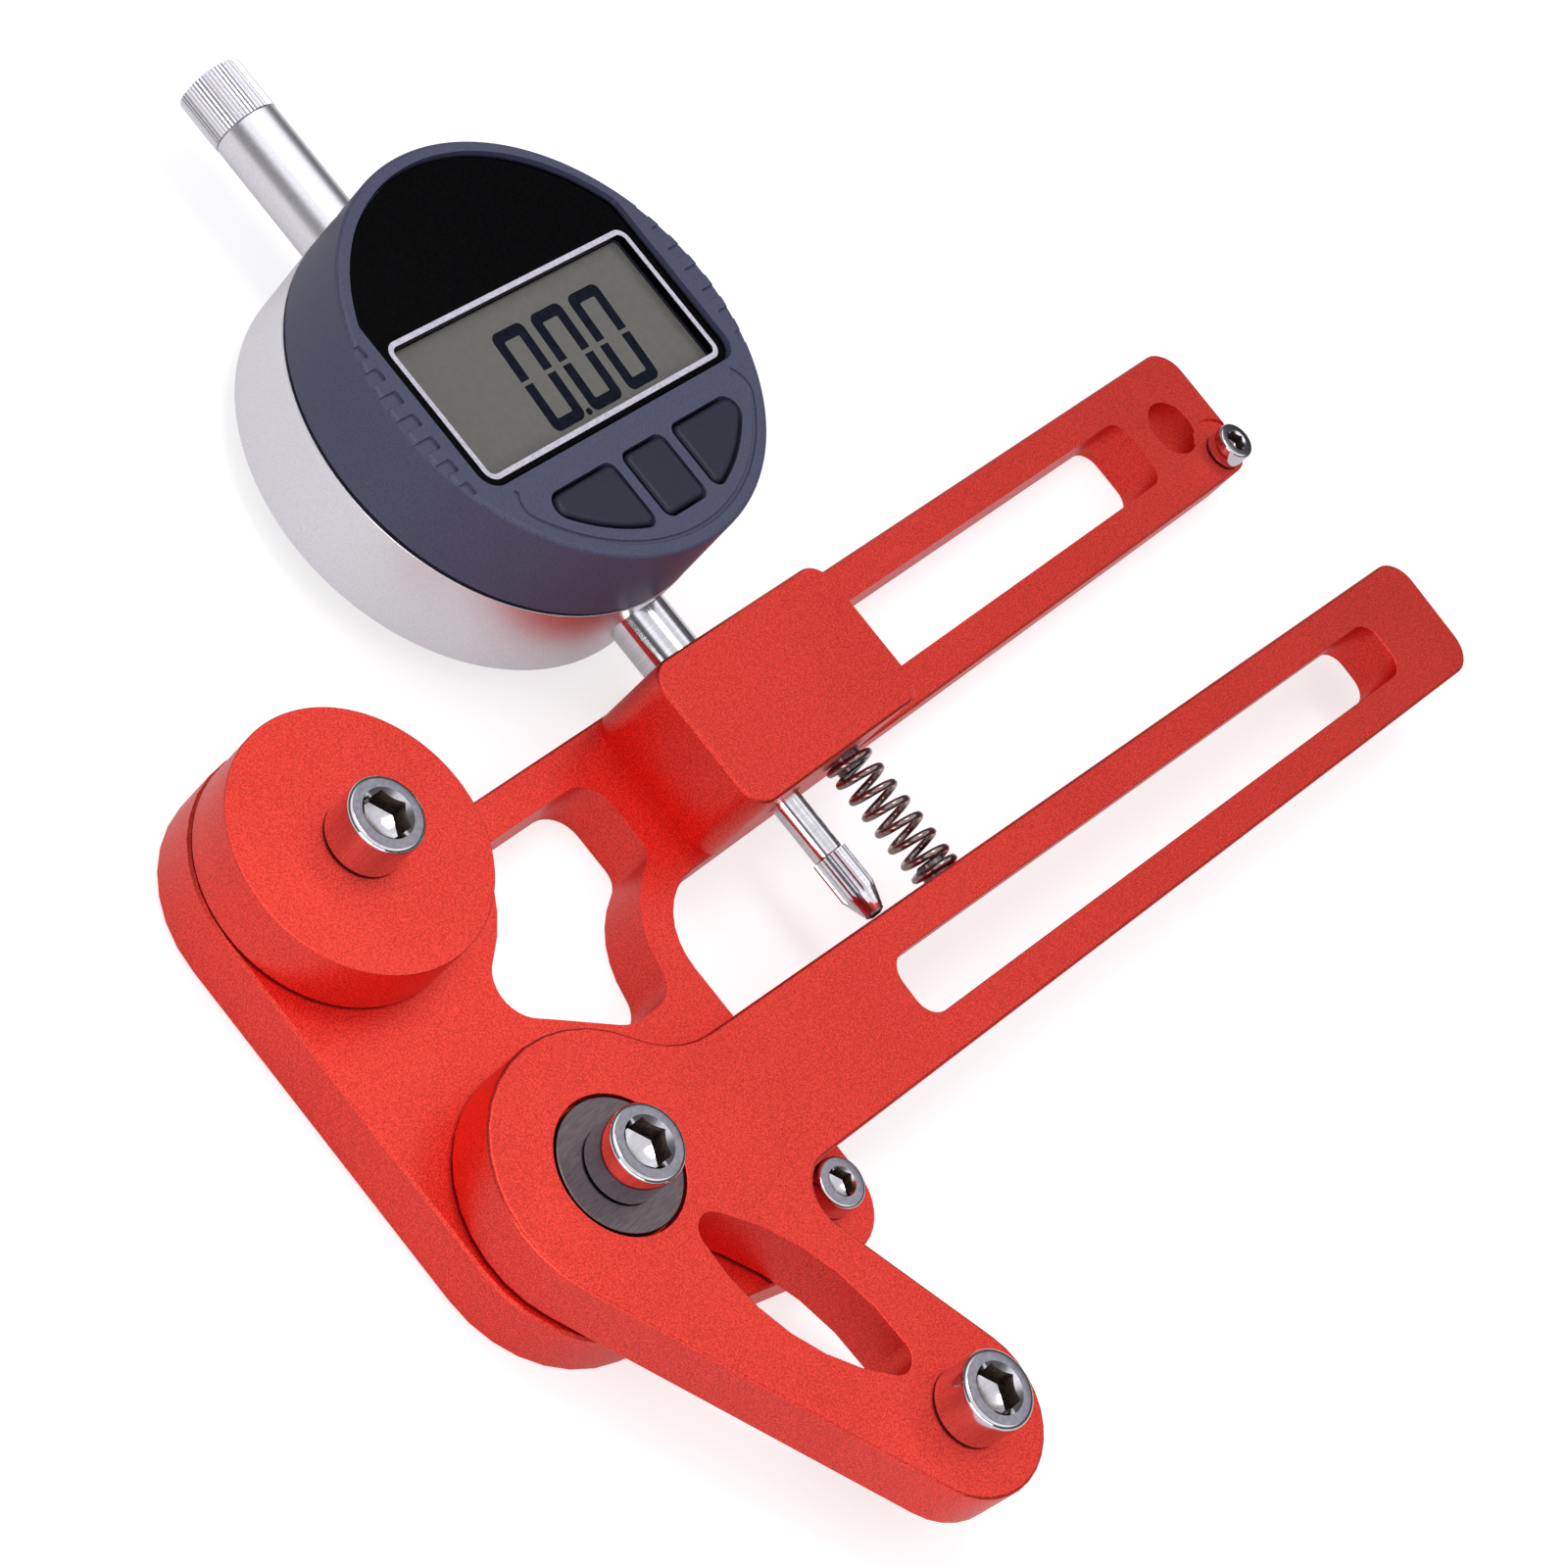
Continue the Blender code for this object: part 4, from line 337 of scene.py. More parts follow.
green_laminate, tree, shader, place = new_finish("lacquered_glass_laminate")
weave = add_node(tree, "ShaderNodeTexChecker",
                 {"Vector": place, "Scale": 1.0 / WEAVE_PITCH,
                  "Color1": linear_colour("#1C5632"), "Color2": linear_colour("#23653B")})
tree.links.new(weave.outputs["Color"], shader.inputs["Base Color"])
set_shader(shader, Roughness=0.35)

white_nylon, tree, shader, place = new_finish("moulded_white_nylon")
flow = add_node(tree, "ShaderNodeTexNoise", {"Vector": place, "Scale": 1.0 / MOTTLE_WIDTH})
tree.links.new(two_tone(tree, flow.outputs["Fac"], "#CFCBBF", "#DEDBD1"), shader.inputs["Base Color"])
set_shader(shader, Roughness=0.5, Subsurface_Weight=0.05)

grey_rubber, tree, shader, place = new_finish("moulded_grey_rubber")
flow = add_node(tree, "ShaderNodeTexNoise", {"Vector": place, "Scale": 1.0 / MOTTLE_WIDTH})
tree.links.new(two_tone(tree, flow.outputs["Fac"], "#262628", "#303033"), shader.inputs["Base Color"])
set_shader(shader, Roughness=0.7)
print("made", green_laminate.name, white_nylon.name, grey_rubber.name)

# %% [markdown]
# ## Making pieces
# A finer piece takes its place from the node that it stands for, rides on the same body and hides that node.
# Real edges are never perfectly sharp: a thin bevel catches a line of light along each, and weighted normals
# keep the big flat faces flat beside it. One function does all of that, so every piece is finished alike.

# %% Finish a piece
JOIN_DISTANCE = 0.000001
made_pieces = []


def finish_piece(name, shape, finish, node, stands_for=True, edge=0.0, limit=35.0, segments=2):
    """Turn a bmesh into a finished piece that rides with a node's body, and hide that node."""
    mesh = bpy.data.meshes.new(name)
    shape.to_mesh(mesh)
    shape.free()
    if "custom_normal" in mesh.attributes:
        mesh.attributes.remove(mesh.attributes["custom_normal"])
    mesh.materials.clear()
    mesh.materials.append(finish)
    mesh.shade_smooth()
    piece = bpy.data.objects.new(name, mesh)
    bpy.context.scene.collection.objects.link(piece)
    if edge:
        bevel = piece.modifiers.new("edge", "BEVEL")
        bevel.width = edge
        bevel.segments = segments
        bevel.limit_method = "ANGLE"
        bevel.angle_limit = math.radians(limit)
        piece.modifiers.new("shading", "WEIGHTED_NORMAL").keep_sharp = True
    else:
        mesh.set_sharp_from_angle(angle=math.radians(limit))
    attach(piece, BODY_OF[node])
    if stands_for:
        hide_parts(node)
    made_pieces.append(piece)
    print(f"{name}: {len(mesh.polygons)} faces on {BODY_OF[node]}")
    return piece


# %% Copy, turn, cut and join shapes
def clean(shape):
    """Merge doubled points, make flat faces whole and point every face outwards."""
    bmesh.ops.remove_doubles(shape, verts=shape.verts, dist=JOIN_DISTANCE)
    bmesh.ops.dissolve_limit(shape, angle_limit=math.radians(1.0), verts=shape.verts, edges=shape.edges)
    bmesh.ops.recalc_face_normals(shape, faces=shape.faces)
    return shape


def copy_of(node):
    """A node's own shape, its loose triangles joined up."""
    shape = bmesh.new()
    shape.from_mesh(frame["nodes"][node].data)
    return clean(shape)


def lathe(profile, place, turn=None, steps=96):
    """Spin (radius, height) points round Z, then turn the result and move it to its place."""
    shape = bmesh.new()
    points = [shape.verts.new((radius, 0.0, height)) for radius, height in profile]
    edges = [shape.edges.new(pair) for pair in zip(points, points[1:])]
    if profile[0][0] > 0.0:
        edges.append(shape.edges.new((points[-1], points[0])))
    bmesh.ops.spin(shape, geom=points + edges, cent=(0.0, 0.0, 0.0), axis=(0.0, 0.0, 1.0),
                   angle=FULL_TURN, steps=steps, use_merge=True)
    bmesh.ops.remove_doubles(shape, verts=shape.verts, dist=JOIN_DISTANCE)
    bmesh.ops.recalc_face_normals(shape, faces=shape.faces)
    if turn:
        bmesh.ops.rotate(shape, verts=shape.verts, cent=(0.0, 0.0, 0.0), matrix=turn)
    bmesh.ops.translate(shape, verts=shape.verts, vec=place)
    return shape


def loose_object(shape):
    """A throwaway object that holds a bmesh for one modifier."""
    mesh = bpy.data.meshes.new("loose")
    shape.to_mesh(mesh)
    shape.free()
    holder = bpy.data.objects.new("loose", mesh)
    bpy.context.scene.collection.objects.link(holder)
    return holder


def carve(shape, cutter, operation="DIFFERENCE"):
    """Cut one closed shape out of another with an exact boolean."""
    body = loose_object(shape)
    tool = loose_object(cutter)
    modifier = body.modifiers.new("cut", "BOOLEAN")
    modifier.operation = operation
    modifier.solver = "EXACT"
    modifier.object = tool
    result = bmesh.new()
    result.from_object(body, bpy.context.evaluated_depsgraph_get())
    for holder in (body, tool):
        mesh = holder.data
        bpy.data.objects.remove(holder)
        bpy.data.meshes.remove(mesh)
    return result


def together(shapes):
    """Put separate shapes into one bmesh."""
    whole = bmesh.new()
    for shape in shapes:
        mesh = bpy.data.meshes.new("loose")
        shape.to_mesh(mesh)
        shape.free()
        whole.from_mesh(mesh)
        bpy.data.meshes.remove(mesh)
    return whole


print("shape helpers ready")

# %% [markdown]
# ## Outlines
# A milled or moulded outline is mostly arcs joined by straight runs, like a belt over pulleys. Each pulley is
# given as x, y, radius and side, where side 1 bulges out and side -1 bites in. The belt's headings follow
# from the radii alone. Each arc is then spun from its first point, the runs close the loop, and extruding
# the face gives a slab.

# %% Belt outlines
ARC_STEP = math.radians(3.0)


def outline(rounds, place):
    """A flat face whose edge runs round the given pulleys, anticlockwise."""
    headings = []
    for index, (x, y, radius, side) in enumerate(rounds):
        next_x, next_y, next_radius, next_side = rounds[(index + 1) % len(rounds)]
        run = math.hypot(next_x - x, next_y - y)
        lean = (next_side * next_radius - side * radius) / run
        headings.append(math.atan2(next_y - y, next_x - x) - math.asin(max(-1.0, min(1.0, lean))))
    shape = bmesh.new()
    ends = []
    for index, (x, y, radius, side) in enumerate(rounds):
        start = headings[index - 1]
        turn = (headings[index] - start) % FULL_TURN
        if side < 0:
            turn -= FULL_TURN
        reach = side * radius
        first = shape.verts.new((x + reach * math.sin(start), y - reach * math.cos(start), 0.0))
        steps = max(1, round(abs(turn) / ARC_STEP))
        spun = bmesh.ops.spin(shape, geom=[first], cent=(x, y, 0.0), axis=(0.0, 0.0, 1.0),
                              angle=turn, steps=steps)
        last = [item for item in spun["geom_last"] if isinstance(item, bmesh.types.BMVert)][0]
        ends.append((first, last))
    for (_, last), (first, _) in zip(ends, ends[1:] + ends[:1]):
        shape.edges.new((last, first))
    bmesh.ops.remove_doubles(shape, verts=shape.verts, dist=JOIN_DISTANCE)
    bmesh.ops.contextual_create(shape, geom=shape.edges[:])
    bmesh.ops.translate(shape, verts=shape.verts, vec=place)
    return shape


def slab(rounds, place, low, high):
    """An outline made solid between two heights."""
    shape = outline(rounds, place)
    grown = bmesh.ops.extrude_face_region(shape, geom=shape.faces[:])
    top = [item for item in grown["geom"] if isinstance(item, bmesh.types.BMVert)]
    bmesh.ops.translate(shape, verts=shape.verts, vec=(0.0, 0.0, low))
    bmesh.ops.translate(shape, verts=top, vec=(0.0, 0.0, high - low))
    bmesh.ops.recalc_face_normals(shape, faces=shape.faces)
    return shape


def rectangle(left, right, low, high, corner):
    """Pulleys for a rectangle with round corners."""
    return [(left + corner, low + corner, corner, 1), (right - corner, low + corner, corner, 1),
            (right - corner, high - corner, corner, 1), (left + corner, high - corner, corner, 1)]


print("outline helpers ready")

# %% [markdown]
# ## The red plates
# Both arms are milled from 8 mm plate. Their outlines, windows and slots are already exact in the packed
# solids, so a copy of each is the right start. Its loose triangles are merged into whole faces, the milled
# edges get a narrow bevel, and smooth shading turns the short facets of each arc into one curve.

# %% Rear and front plate
PLATE_EDGE = 0.00012
for node in ("rear_plate", "front_plate"):
    finish_piece(node + "_milled", copy_of(node), red_anodised, node, edge=PLATE_EDGE, limit=30.0)

# %% [markdown]
# ## Spacer disc and pivot flange
# The disc lifts the upper post to the height of the front plate, and the flange lies flush in that plate
# round the pivot. Both were turned on a lathe, so both are profiles spun round the post's axis.

# %% Spacer disc
DISC_EDGE = 0.00014
disc_low, disc_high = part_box("spacer_disc")
disc_radius = 0.5 * (disc_high.x - disc_low.x)
upper_post = 0.5 * (disc_low + disc_high)
upper_post.z = 0.0
profile = [(0.0, disc_high.z), (disc_radius, disc_high.z), (disc_radius, disc_low.z), (0.0, disc_low.z)]
finish_piece("spacer_disc_turned", lathe(profile, upper_post, steps=144), red_anodised, "spacer_disc",
             edge=DISC_EDGE)

# %% Pivot flange
FLANGE_EDGE = 0.00020
FLANGE_DEPTH = 0.0015
BUSH_RADIUS = 0.0050
flange_low, flange_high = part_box("pivot_bush")
flange_radius = flange_high.x
under = flange_high.z - FLANGE_DEPTH
profile = [(0.0, flange_high.z), (flange_radius, flange_high.z), (flange_radius, under),
           (BUSH_RADIUS, under), (BUSH_RADIUS, flange_low.z), (0.0, flange_low.z)]
finish_piece("pivot_flange", lathe(profile, Vector()), blackened_steel, "pivot_bush", edge=FLANGE_EDGE)

# %% [markdown]
# ## Socket screws
# The three posts that touch the spoke are the round heads of M6 screws, and the two stops are M4 and M3. A
# head is forged and turned, so it is spun from a profile with a rounded top edge. The socket is cut with a
# six-sided bar that ends in the cone that a drill leaves, and a wide cone breaks its mouth. The whole head is
# one plated metal, but its six walls get the dark socket steel as painted shade, the drilled bottom, mouth,
# rounded edge and side get the brighter ground finish as painted highlight, and the flat top keeps the darker
# nickel as a painted dull reflection.

# %% Screws
ROUNDING_STEPS = 6
MOUTH_DEPTH = 0.0003
SHANK_SHARE = 0.55
DRILL_TIP_SHARE = 0.25
SOCKET_REACH_SHARE = 0.6
WALL_LIMIT = 0.3
FLAT_LIMIT = 0.95
M6_HEAD = {"head_height": 0.0057, "rounding": 0.0006, "socket_width": 0.0052, "socket_depth": 0.0032,
           "mouth": 0.0032}
M4_HEAD = {"head_height": 0.0031, "rounding": 0.0004, "socket_width": 0.0032, "socket_depth": 0.0019,
           "mouth": 0.0019}
M3_HEAD = {"head_height": 0.0030, "rounding": 0.0004, "socket_width": 0.0028, "socket_depth": 0.0018,
           "mouth": 0.0017}
HEADS = {"upper_post_screw": M6_HEAD, "pivot_post_screw": M6_HEAD, "lower_post_screw": M6_HEAD,
         "stop_screw": M4_HEAD, "end_stop_screw": M3_HEAD}


def hexagonal_bar(width, low, high, tip):
    """A six-sided bar with a pointed lower end."""
    corner = width / math.sqrt(3.0)
    return lathe([(0.0, high), (corner, high), (corner, low), (0.0, low - tip)], Vector(), steps=6)


def rounded_edge(radius, top, rounding):
    """The quarter circle from a flat top down to a straight side."""
    points = []
    for step in range(ROUNDING_STEPS + 1):
        angle = 0.5 * math.pi * step / ROUNDING_STEPS
        in_by = rounding * (1.0 - math.sin(angle))
        down_by = rounding * (1.0 - math.cos(angle))
        points.append((radius - in_by, top - down_by))
    return points


def socket_screw(node, head_height, rounding, socket_width, socket_depth, mouth):
    """A screw whose head stands on the highest head_height of its node."""
    low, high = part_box(node)
    centre = 0.5 * (low + high)
    centre.z = 0.0
    radius = 0.5 * (high.x - low.x)
    base = high.z - head_height
    shank = SHANK_SHARE * radius
    profile = [(0.0, high.z)] + rounded_edge(radius, high.z, rounding)
    profile += [(radius, base), (shank, base), (shank, low.z), (0.0, low.z)]
    tip = DRILL_TIP_SHARE * socket_width
    bar = hexagonal_bar(socket_width, high.z - socket_depth, high.z + head_height, tip)
    cone = [(0.0, high.z + mouth), (mouth + MOUTH_DEPTH, high.z + MOUTH_DEPTH), (0.0, high.z - mouth)]
    screw = carve(carve(lathe(profile, Vector()), bar), lathe(cone, Vector()))
    bmesh.ops.translate(screw, verts=screw.verts, vec=centre)
    piece = finish_piece(node + "_polished", screw, polished_nickel, node, limit=30.0)
    piece.data.materials.append(socket_painted_shade_steel)
    piece.data.materials.append(ground_steel)
    for face in piece.data.polygons:
        inside = (face.center - centre).xy.length < SOCKET_REACH_SHARE * socket_width
        deep = face.center.z < high.z - 0.5 * socket_depth
        steep = abs(face.normal.z)
        # Faces sorted by slope: the dark steel on the socket walls is painted shade. The brighter ground
        # metal on the side, rounded edge, mouth and drill bottom is painted highlight on one plated head.
        if inside and steep < WALL_LIMIT:
            face.material_index = 1
        elif steep < FLAT_LIMIT or (inside and deep):
            face.material_index = 2


for node, sizes in HEADS.items():
    socket_screw(node, **sizes)

# %% [markdown]
# ## Return spring
# A compression spring is one round wire wound on a mandrel: open curls in the middle and one closed curl at
# each end. Blender's spin with a step along the axis is the same motion, so a small circle is spun round Y
# three times with three pitches. The spring then gets a mesh of its own.

# %% Wind the springs
def wound_wire(x, z, coil_radius, wire_radius, low, stretches, steps_per_curl=40, sides=12):
    """Spin a wire's round section up Y: each stretch is a number of curls and the length it fills."""
    shape = bmesh.new()
    bmesh.ops.create_circle(shape, cap_ends=True, radius=wire_radius, segments=sides)
    bmesh.ops.translate(shape, verts=shape.verts, vec=(x + coil_radius, low, z))
    moving = shape.verts[:] + shape.edges[:] + shape.faces[:]
    for curls, length in stretches:
        steps = round(curls * steps_per_curl)
        spun = bmesh.ops.spin(shape, geom=moving, cent=(x, low, z), axis=(0.0, -1.0, 0.0),
                              dvec=(0.0, length / steps, 0.0), angle=curls * FULL_TURN, steps=steps)
        moving = spun["geom_last"]
    bmesh.ops.recalc_face_normals(shape, faces=shape.faces)
    return shape


# %% Return spring
SPRING_WIRE = 0.0005
CLOSED_PITCH = 0.0014
ACTIVE_CURLS = 6
SPRING_REACH = 0.0006
spring_low, spring_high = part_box("return_spring")
axle_z = 0.5 * (spring_low.z + spring_high.z)
spring_x = 0.5 * (spring_low.x + spring_high.x)
coil_radius = 0.5 * (spring_high.x - spring_low.x) - SPRING_WIRE
spring_bottom = spring_low.y - SPRING_REACH
spring_top = spring_high.y + SPRING_REACH
first = spring_bottom + SPRING_WIRE
span = spring_top - spring_bottom - 2.0 * SPRING_WIRE
stretches = [(1, CLOSED_PITCH), (ACTIVE_CURLS, span - 2.0 * CLOSED_PITCH), (1, CLOSED_PITCH)]
spring = finish_piece("return_spring_wound",
                      wound_wire(spring_x, axle_z, coil_radius, SPRING_WIRE, first, stretches),
                      spring_steel, "return_spring", limit=50.0)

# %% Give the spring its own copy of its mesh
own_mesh(spring)

# %% [markdown]
# ## Indicator case, stem and tube
# The case is a shallow chromed drum. The stem below it is clamped in the red block, and the tube above it
# hides the top of the spindle under a fluted cap. All of them are turned parts. The cap's flutes start as a
# many-sided bar on which every third edge is drawn in towards the axis.

# %% Case
CASE_EDGE = 0.0004
CASE_TOP_EDGE = 0.00012
CASE_GAP = 0.0006
COVER_CLEARANCE = 0.0003
SPIGOT_STEP = 0.0033
case_low, case_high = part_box("indicator_case")
case_radius = 0.5 * (case_high.x - case_low.x)
bezel_low, bezel_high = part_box("bezel")
case_top = bezel_low.z - CASE_GAP
case_back = case_low.z
bore = 0.5 * (cover_high.x - cover_low.x) + COVER_CLEARANCE
spigot = case_radius - SPIGOT_STEP
profile = [(0.0, case_high.z), (spigot, case_high.z), (spigot, case_top), (case_radius, case_top),
           (case_radius, case_back + CASE_EDGE), (case_radius - CASE_EDGE, case_back), (bore, case_back),
           (bore, cover_high.z), (0.0, cover_high.z)]
drum = lathe(profile, INDICATOR, steps=192)
finish_piece("case_drum", drum, satin_chrome, "indicator_case", edge=CASE_TOP_EDGE)

# %% Stem, tube and spindle
ROD_EDGE = 0.00025


def ground_rod(node, name, finish, edge=ROD_EDGE):
    """A round bar along Y in place of a node."""
    low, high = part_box(node)
    radius = 0.5 * (high.x - low.x)
    axis = Vector((0.5 * (low.x + high.x), 0.0, 0.5 * (low.z + high.z)))
    profile = [(0.0, high.y), (radius, high.y), (radius, low.y), (0.0, low.y)]
    return finish_piece(name, lathe(profile, axis, ALONG_Y), finish, node, edge=edge)


ground_rod("stem", "stem_ground", ground_steel)
ground_rod("upper_tube", "upper_tube_ground", satin_chrome)
ground_rod("spindle", "spindle_ground", ground_steel)

# %% Fluted bars
def fluted_bar(radius, depth, flutes, low, high, axis):
    """A bar along Y whose every third edge is drawn in, which leaves a narrow groove between two lands."""
    shape = bmesh.new()
    bmesh.ops.create_cone(shape, cap_ends=True, segments=3 * flutes, radius1=radius, radius2=radius,
                          depth=high - low)
    step = FULL_TURN / (3 * flutes)
    valleys = [v for v in shape.verts if round(math.atan2(v.co.y, v.co.x) / step) % 3 == 0]
    scale = (radius - depth) / radius
    bmesh.ops.scale(shape, vec=(scale, scale, 1.0), verts=valleys)
    bmesh.ops.rotate(shape, verts=shape.verts, cent=(0.0, 0.0, 0.0), matrix=ALONG_Y)
    bmesh.ops.translate(shape, verts=shape.verts, vec=axis + Vector((0.0, 0.5 * (low + high), 0.0)))
    return shape


# %% Fluted cap
CAP_FLUTES = 56
CAP_FLUTE_DEPTH = 0.00014
cap_low, cap_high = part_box("tube_cap")
tube_low, tube_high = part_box("upper_tube")
axle = Vector((INDICATOR.x, 0.0, 0.5 * (tube_low.z + tube_high.z)))
cap_radius = 0.5 * (cap_high.x - cap_low.x)
cap = fluted_bar(cap_radius, CAP_FLUTE_DEPTH, CAP_FLUTES, tube_high.y, cap_high.y, axle)
finish_piece("tube_cap_fluted", cap, satin_chrome, "tube_cap", limit=25.0)

# %% [markdown]
# ## Contact point
# The point screws into the spindle and is what touches the front arm. It is one fluted bar, turned down to a
# polished cone below, so the flutes end in a zigzag where the cone runs through them. A small dark wear tip
# ends it.

# %% Contact point and tip
CONE_LENGTH = 0.0033
CONE_START_RADIUS = 0.0026
CONE_END_RADIUS = 0.0014
CONTACT_FLUTES = 24
CONTACT_FLUTE_DEPTH = 0.00020
contact_low, contact_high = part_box("contact_point")
contact_radius = 0.5 * (contact_high.x - contact_low.x)
collar_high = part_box("spindle")[0].y
shoulder = contact_low.y + CONE_LENGTH
tip_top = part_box("contact_tip")[1].y
collar = fluted_bar(contact_radius, CONTACT_FLUTE_DEPTH, CONTACT_FLUTES, tip_top, collar_high, axle)
cone = lathe([(0.0, contact_high.y), (CONE_START_RADIUS, contact_high.y), (CONE_START_RADIUS, shoulder),
              (CONE_END_RADIUS, tip_top), (0.0, tip_top)], axle, ALONG_Y, steps=64)
point = carve(collar, cone, "INTERSECT")
finish_piece("contact_point_fluted", point, ground_steel, "contact_point", limit=30.0)
finish_piece("contact_tip_ground", copy_of("contact_tip"), blackened_steel, "contact_tip", limit=40.0)

# %% [markdown]
# ## Bezel
# The bezel is a deep moulded cup that turns on the case. Its face carries a sunk window, three buttons and
# two rows of finger notches. It starts as a spun cup, then each opening is cut with a slab, and last the
# groove round the button field with a swept wire. The sizes of window, display and buttons come from their
# nodes.

# %% Bezel cup
BEZEL_WALL = 0.0028
BEZEL_FACE = 0.0032
RIM_ROUND = 0.0006
DRAFT = 0.0002
GAP = 0.0003
BEZEL_EDGE = 0.00014
bezel_front = bezel_high.z
bezel_radius = 0.5 * (bezel_high.x - bezel_low.x)
inner = bezel_radius - BEZEL_WALL
profile = [(0.0, bezel_front)] + rounded_edge(bezel_radius - DRAFT, bezel_front, RIM_ROUND)
profile += [(bezel_radius, bezel_low.z), (inner, bezel_low.z), (inner, bezel_front - BEZEL_FACE),
            (0.0, bezel_front - BEZEL_FACE)]
cup = lathe(profile, Vector(), steps=192)
print("bezel cup", len(cup.faces), "faces")

# %% Window, display and button outlines
WINDOW_CORNER = 0.0024
WINDOW_SHOULDER = 0.0015
LCD_CORNER = 0.0008
BUTTON_CORNER = 0.0010
BUTTON_HEEL = 0.0016


def sides_of(node):
    """Left, right, low and high side of a node, measured from the indicator's centre."""
    low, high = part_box(node)
    return low.x - INDICATOR.x, high.x - INDICATOR.x, low.y - INDICATOR.y, high.y - INDICATOR.y


def window_rounds(grow):
    """The window: a wide arc over a square lower half, grown by a clearance."""
    _, half_width, low, radius = sides_of("display_window")
    shoulder_x = half_width - WINDOW_SHOULDER
    shoulder_y = math.sqrt((radius - WINDOW_SHOULDER) ** 2 - shoulder_x ** 2)
    corner_x = half_width - WINDOW_CORNER
    corner_y = low + WINDOW_CORNER
    rounds = [(corner_x, corner_y, WINDOW_CORNER), (shoulder_x, shoulder_y, WINDOW_SHOULDER),
              (0.0, 0.0, radius),
              (-shoulder_x, shoulder_y, WINDOW_SHOULDER), (-corner_x, corner_y, WINDOW_CORNER)]
    return [(x, y, size + grow, 1) for x, y, size in rounds]


def grown_rectangle(node, corner, grow):
    """A node's rectangle, grown by a clearance."""
    left, right, low, high = sides_of(node)
    return rectangle(left - grow, right + grow, low - grow, high + grow, corner + grow)


def side_button_rounds(node, grow):
    """An outer button: two straight sides closed by an arc round the indicator's centre."""
    left, right, low, high = sides_of(node)
    side = 1 if right > 0.0 else -1
    near = min(abs(left), abs(right)) + BUTTON_CORNER
    sweep = math.hypot(near, low + BUTTON_CORNER) + BUTTON_CORNER
    far_y = high - BUTTON_HEEL
    far_x = math.sqrt((sweep - BUTTON_HEEL) ** 2 - far_y ** 2)
    rounds = [(near, high - BUTTON_CORNER, BUTTON_CORNER), (near, low + BUTTON_CORNER, BUTTON_CORNER),
              (0.0, 0.0, sweep), (far_x, far_y, BUTTON_HEEL)]
    if side < 0:
        rounds = [(-x, y, radius) for x, y, radius in reversed(rounds)]
    return [(x, y, radius + grow, 1) for x, y, radius in rounds]


print("window sides:", [round(side, 4) for side in sides_of("display_window")])

# %% Cut the bezel's openings
KEY_GAP = 0.00045
origin = Vector()
above = bezel_front + BEZEL_FACE
window_low, window_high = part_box("display_window")
button_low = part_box("power_button")[0].z - GAP
cup = carve(cup, slab(window_rounds(GAP), origin, window_low.z - GAP, above))
cup = carve(cup, slab(grown_rectangle("lcd_panel", LCD_CORNER, GAP), origin, bezel_low.z, above))
cup = carve(cup, slab(grown_rectangle("power_button", BUTTON_CORNER, KEY_GAP), origin, button_low, above))
for node in ("unit_button", "zero_button"):
    cup = carve(cup, slab(side_button_rounds(node, KEY_GAP), origin, button_low, above))
print("bezel with openings", len(cup.faces), "faces")

# %% Finger notches
NOTCHES = 9
NOTCH_PITCH = 0.0033
NOTCH_WIDTH = 0.0018
NOTCH_DEPTH = 0.00045
NOTCH_CORNER = 0.0004
NOTCH_CHORD = 0.0032
notch_slabs = []
for side in (-1, 1):
    for index in range(NOTCHES):
        middle = (index - 0.5 * (NOTCHES - 1)) * NOTCH_PITCH
        left, right = sorted((side * (bezel_radius - NOTCH_CHORD), side * (bezel_radius + NOTCH_CHORD)))
        low = middle - 0.5 * NOTCH_WIDTH
        notch = rectangle(left, right, low, low + NOTCH_WIDTH, NOTCH_CORNER)
        notch_slabs.append(slab(notch, origin, bezel_front - NOTCH_DEPTH, above))
cup = carve(cup, together(notch_slabs))
print("bezel with", 2 * NOTCHES, "notches")

# %% Groove round the button field
GROOVE_RADIUS = 0.0274
GROOVE_WIRE = 0.00034
GROOVE_REACH = math.radians(52.0)
GROOVE_HOOK = 0.0030
GROOVE_HOOK_TURN = math.radians(85.0)
UPRIGHT = Matrix.Rotation(math.radians(90.0), 3, "X")


def swept_groove():
    """A thin wire round the lower rim whose two ends hook inwards."""
    shape = bmesh.new()
    start = math.radians(-90.0) - GROOVE_REACH
    bmesh.ops.create_circle(shape, cap_ends=True, radius=GROOVE_WIRE, segments=10)
    bmesh.ops.rotate(shape, verts=shape.verts, cent=origin, matrix=UPRIGHT)
    bmesh.ops.translate(shape, verts=shape.verts, vec=(GROOVE_HOOK, 0.0, 0.0))
    first_hook = start - GROOVE_HOOK_TURN
    bmesh.ops.rotate(shape, verts=shape.verts, cent=origin, matrix=Matrix.Rotation(first_hook, 3, "Z"))
    reach = GROOVE_RADIUS - GROOVE_HOOK
    hooks = [Vector((reach * math.cos(angle), reach * math.sin(angle), 0.0))
             for angle in (start, start + 2.0 * GROOVE_REACH)]
    bmesh.ops.translate(shape, verts=shape.verts, vec=hooks[0])
    moving = shape.verts[:] + shape.edges[:] + shape.faces[:]
    for centre, turn, steps in ((hooks[0], GROOVE_HOOK_TURN, 12), (origin, 2.0 * GROOVE_REACH, 48),
                                (hooks[1], GROOVE_HOOK_TURN, 12)):
        spun = bmesh.ops.spin(shape, geom=moving, cent=centre, axis=(0.0, 0.0, 1.0), angle=turn, steps=steps)
        moving = spun["geom_last"]
    bmesh.ops.recalc_face_normals(shape, faces=shape.faces)
    bmesh.ops.translate(shape, verts=shape.verts, vec=(0.0, 0.0, bezel_front))
    return shape


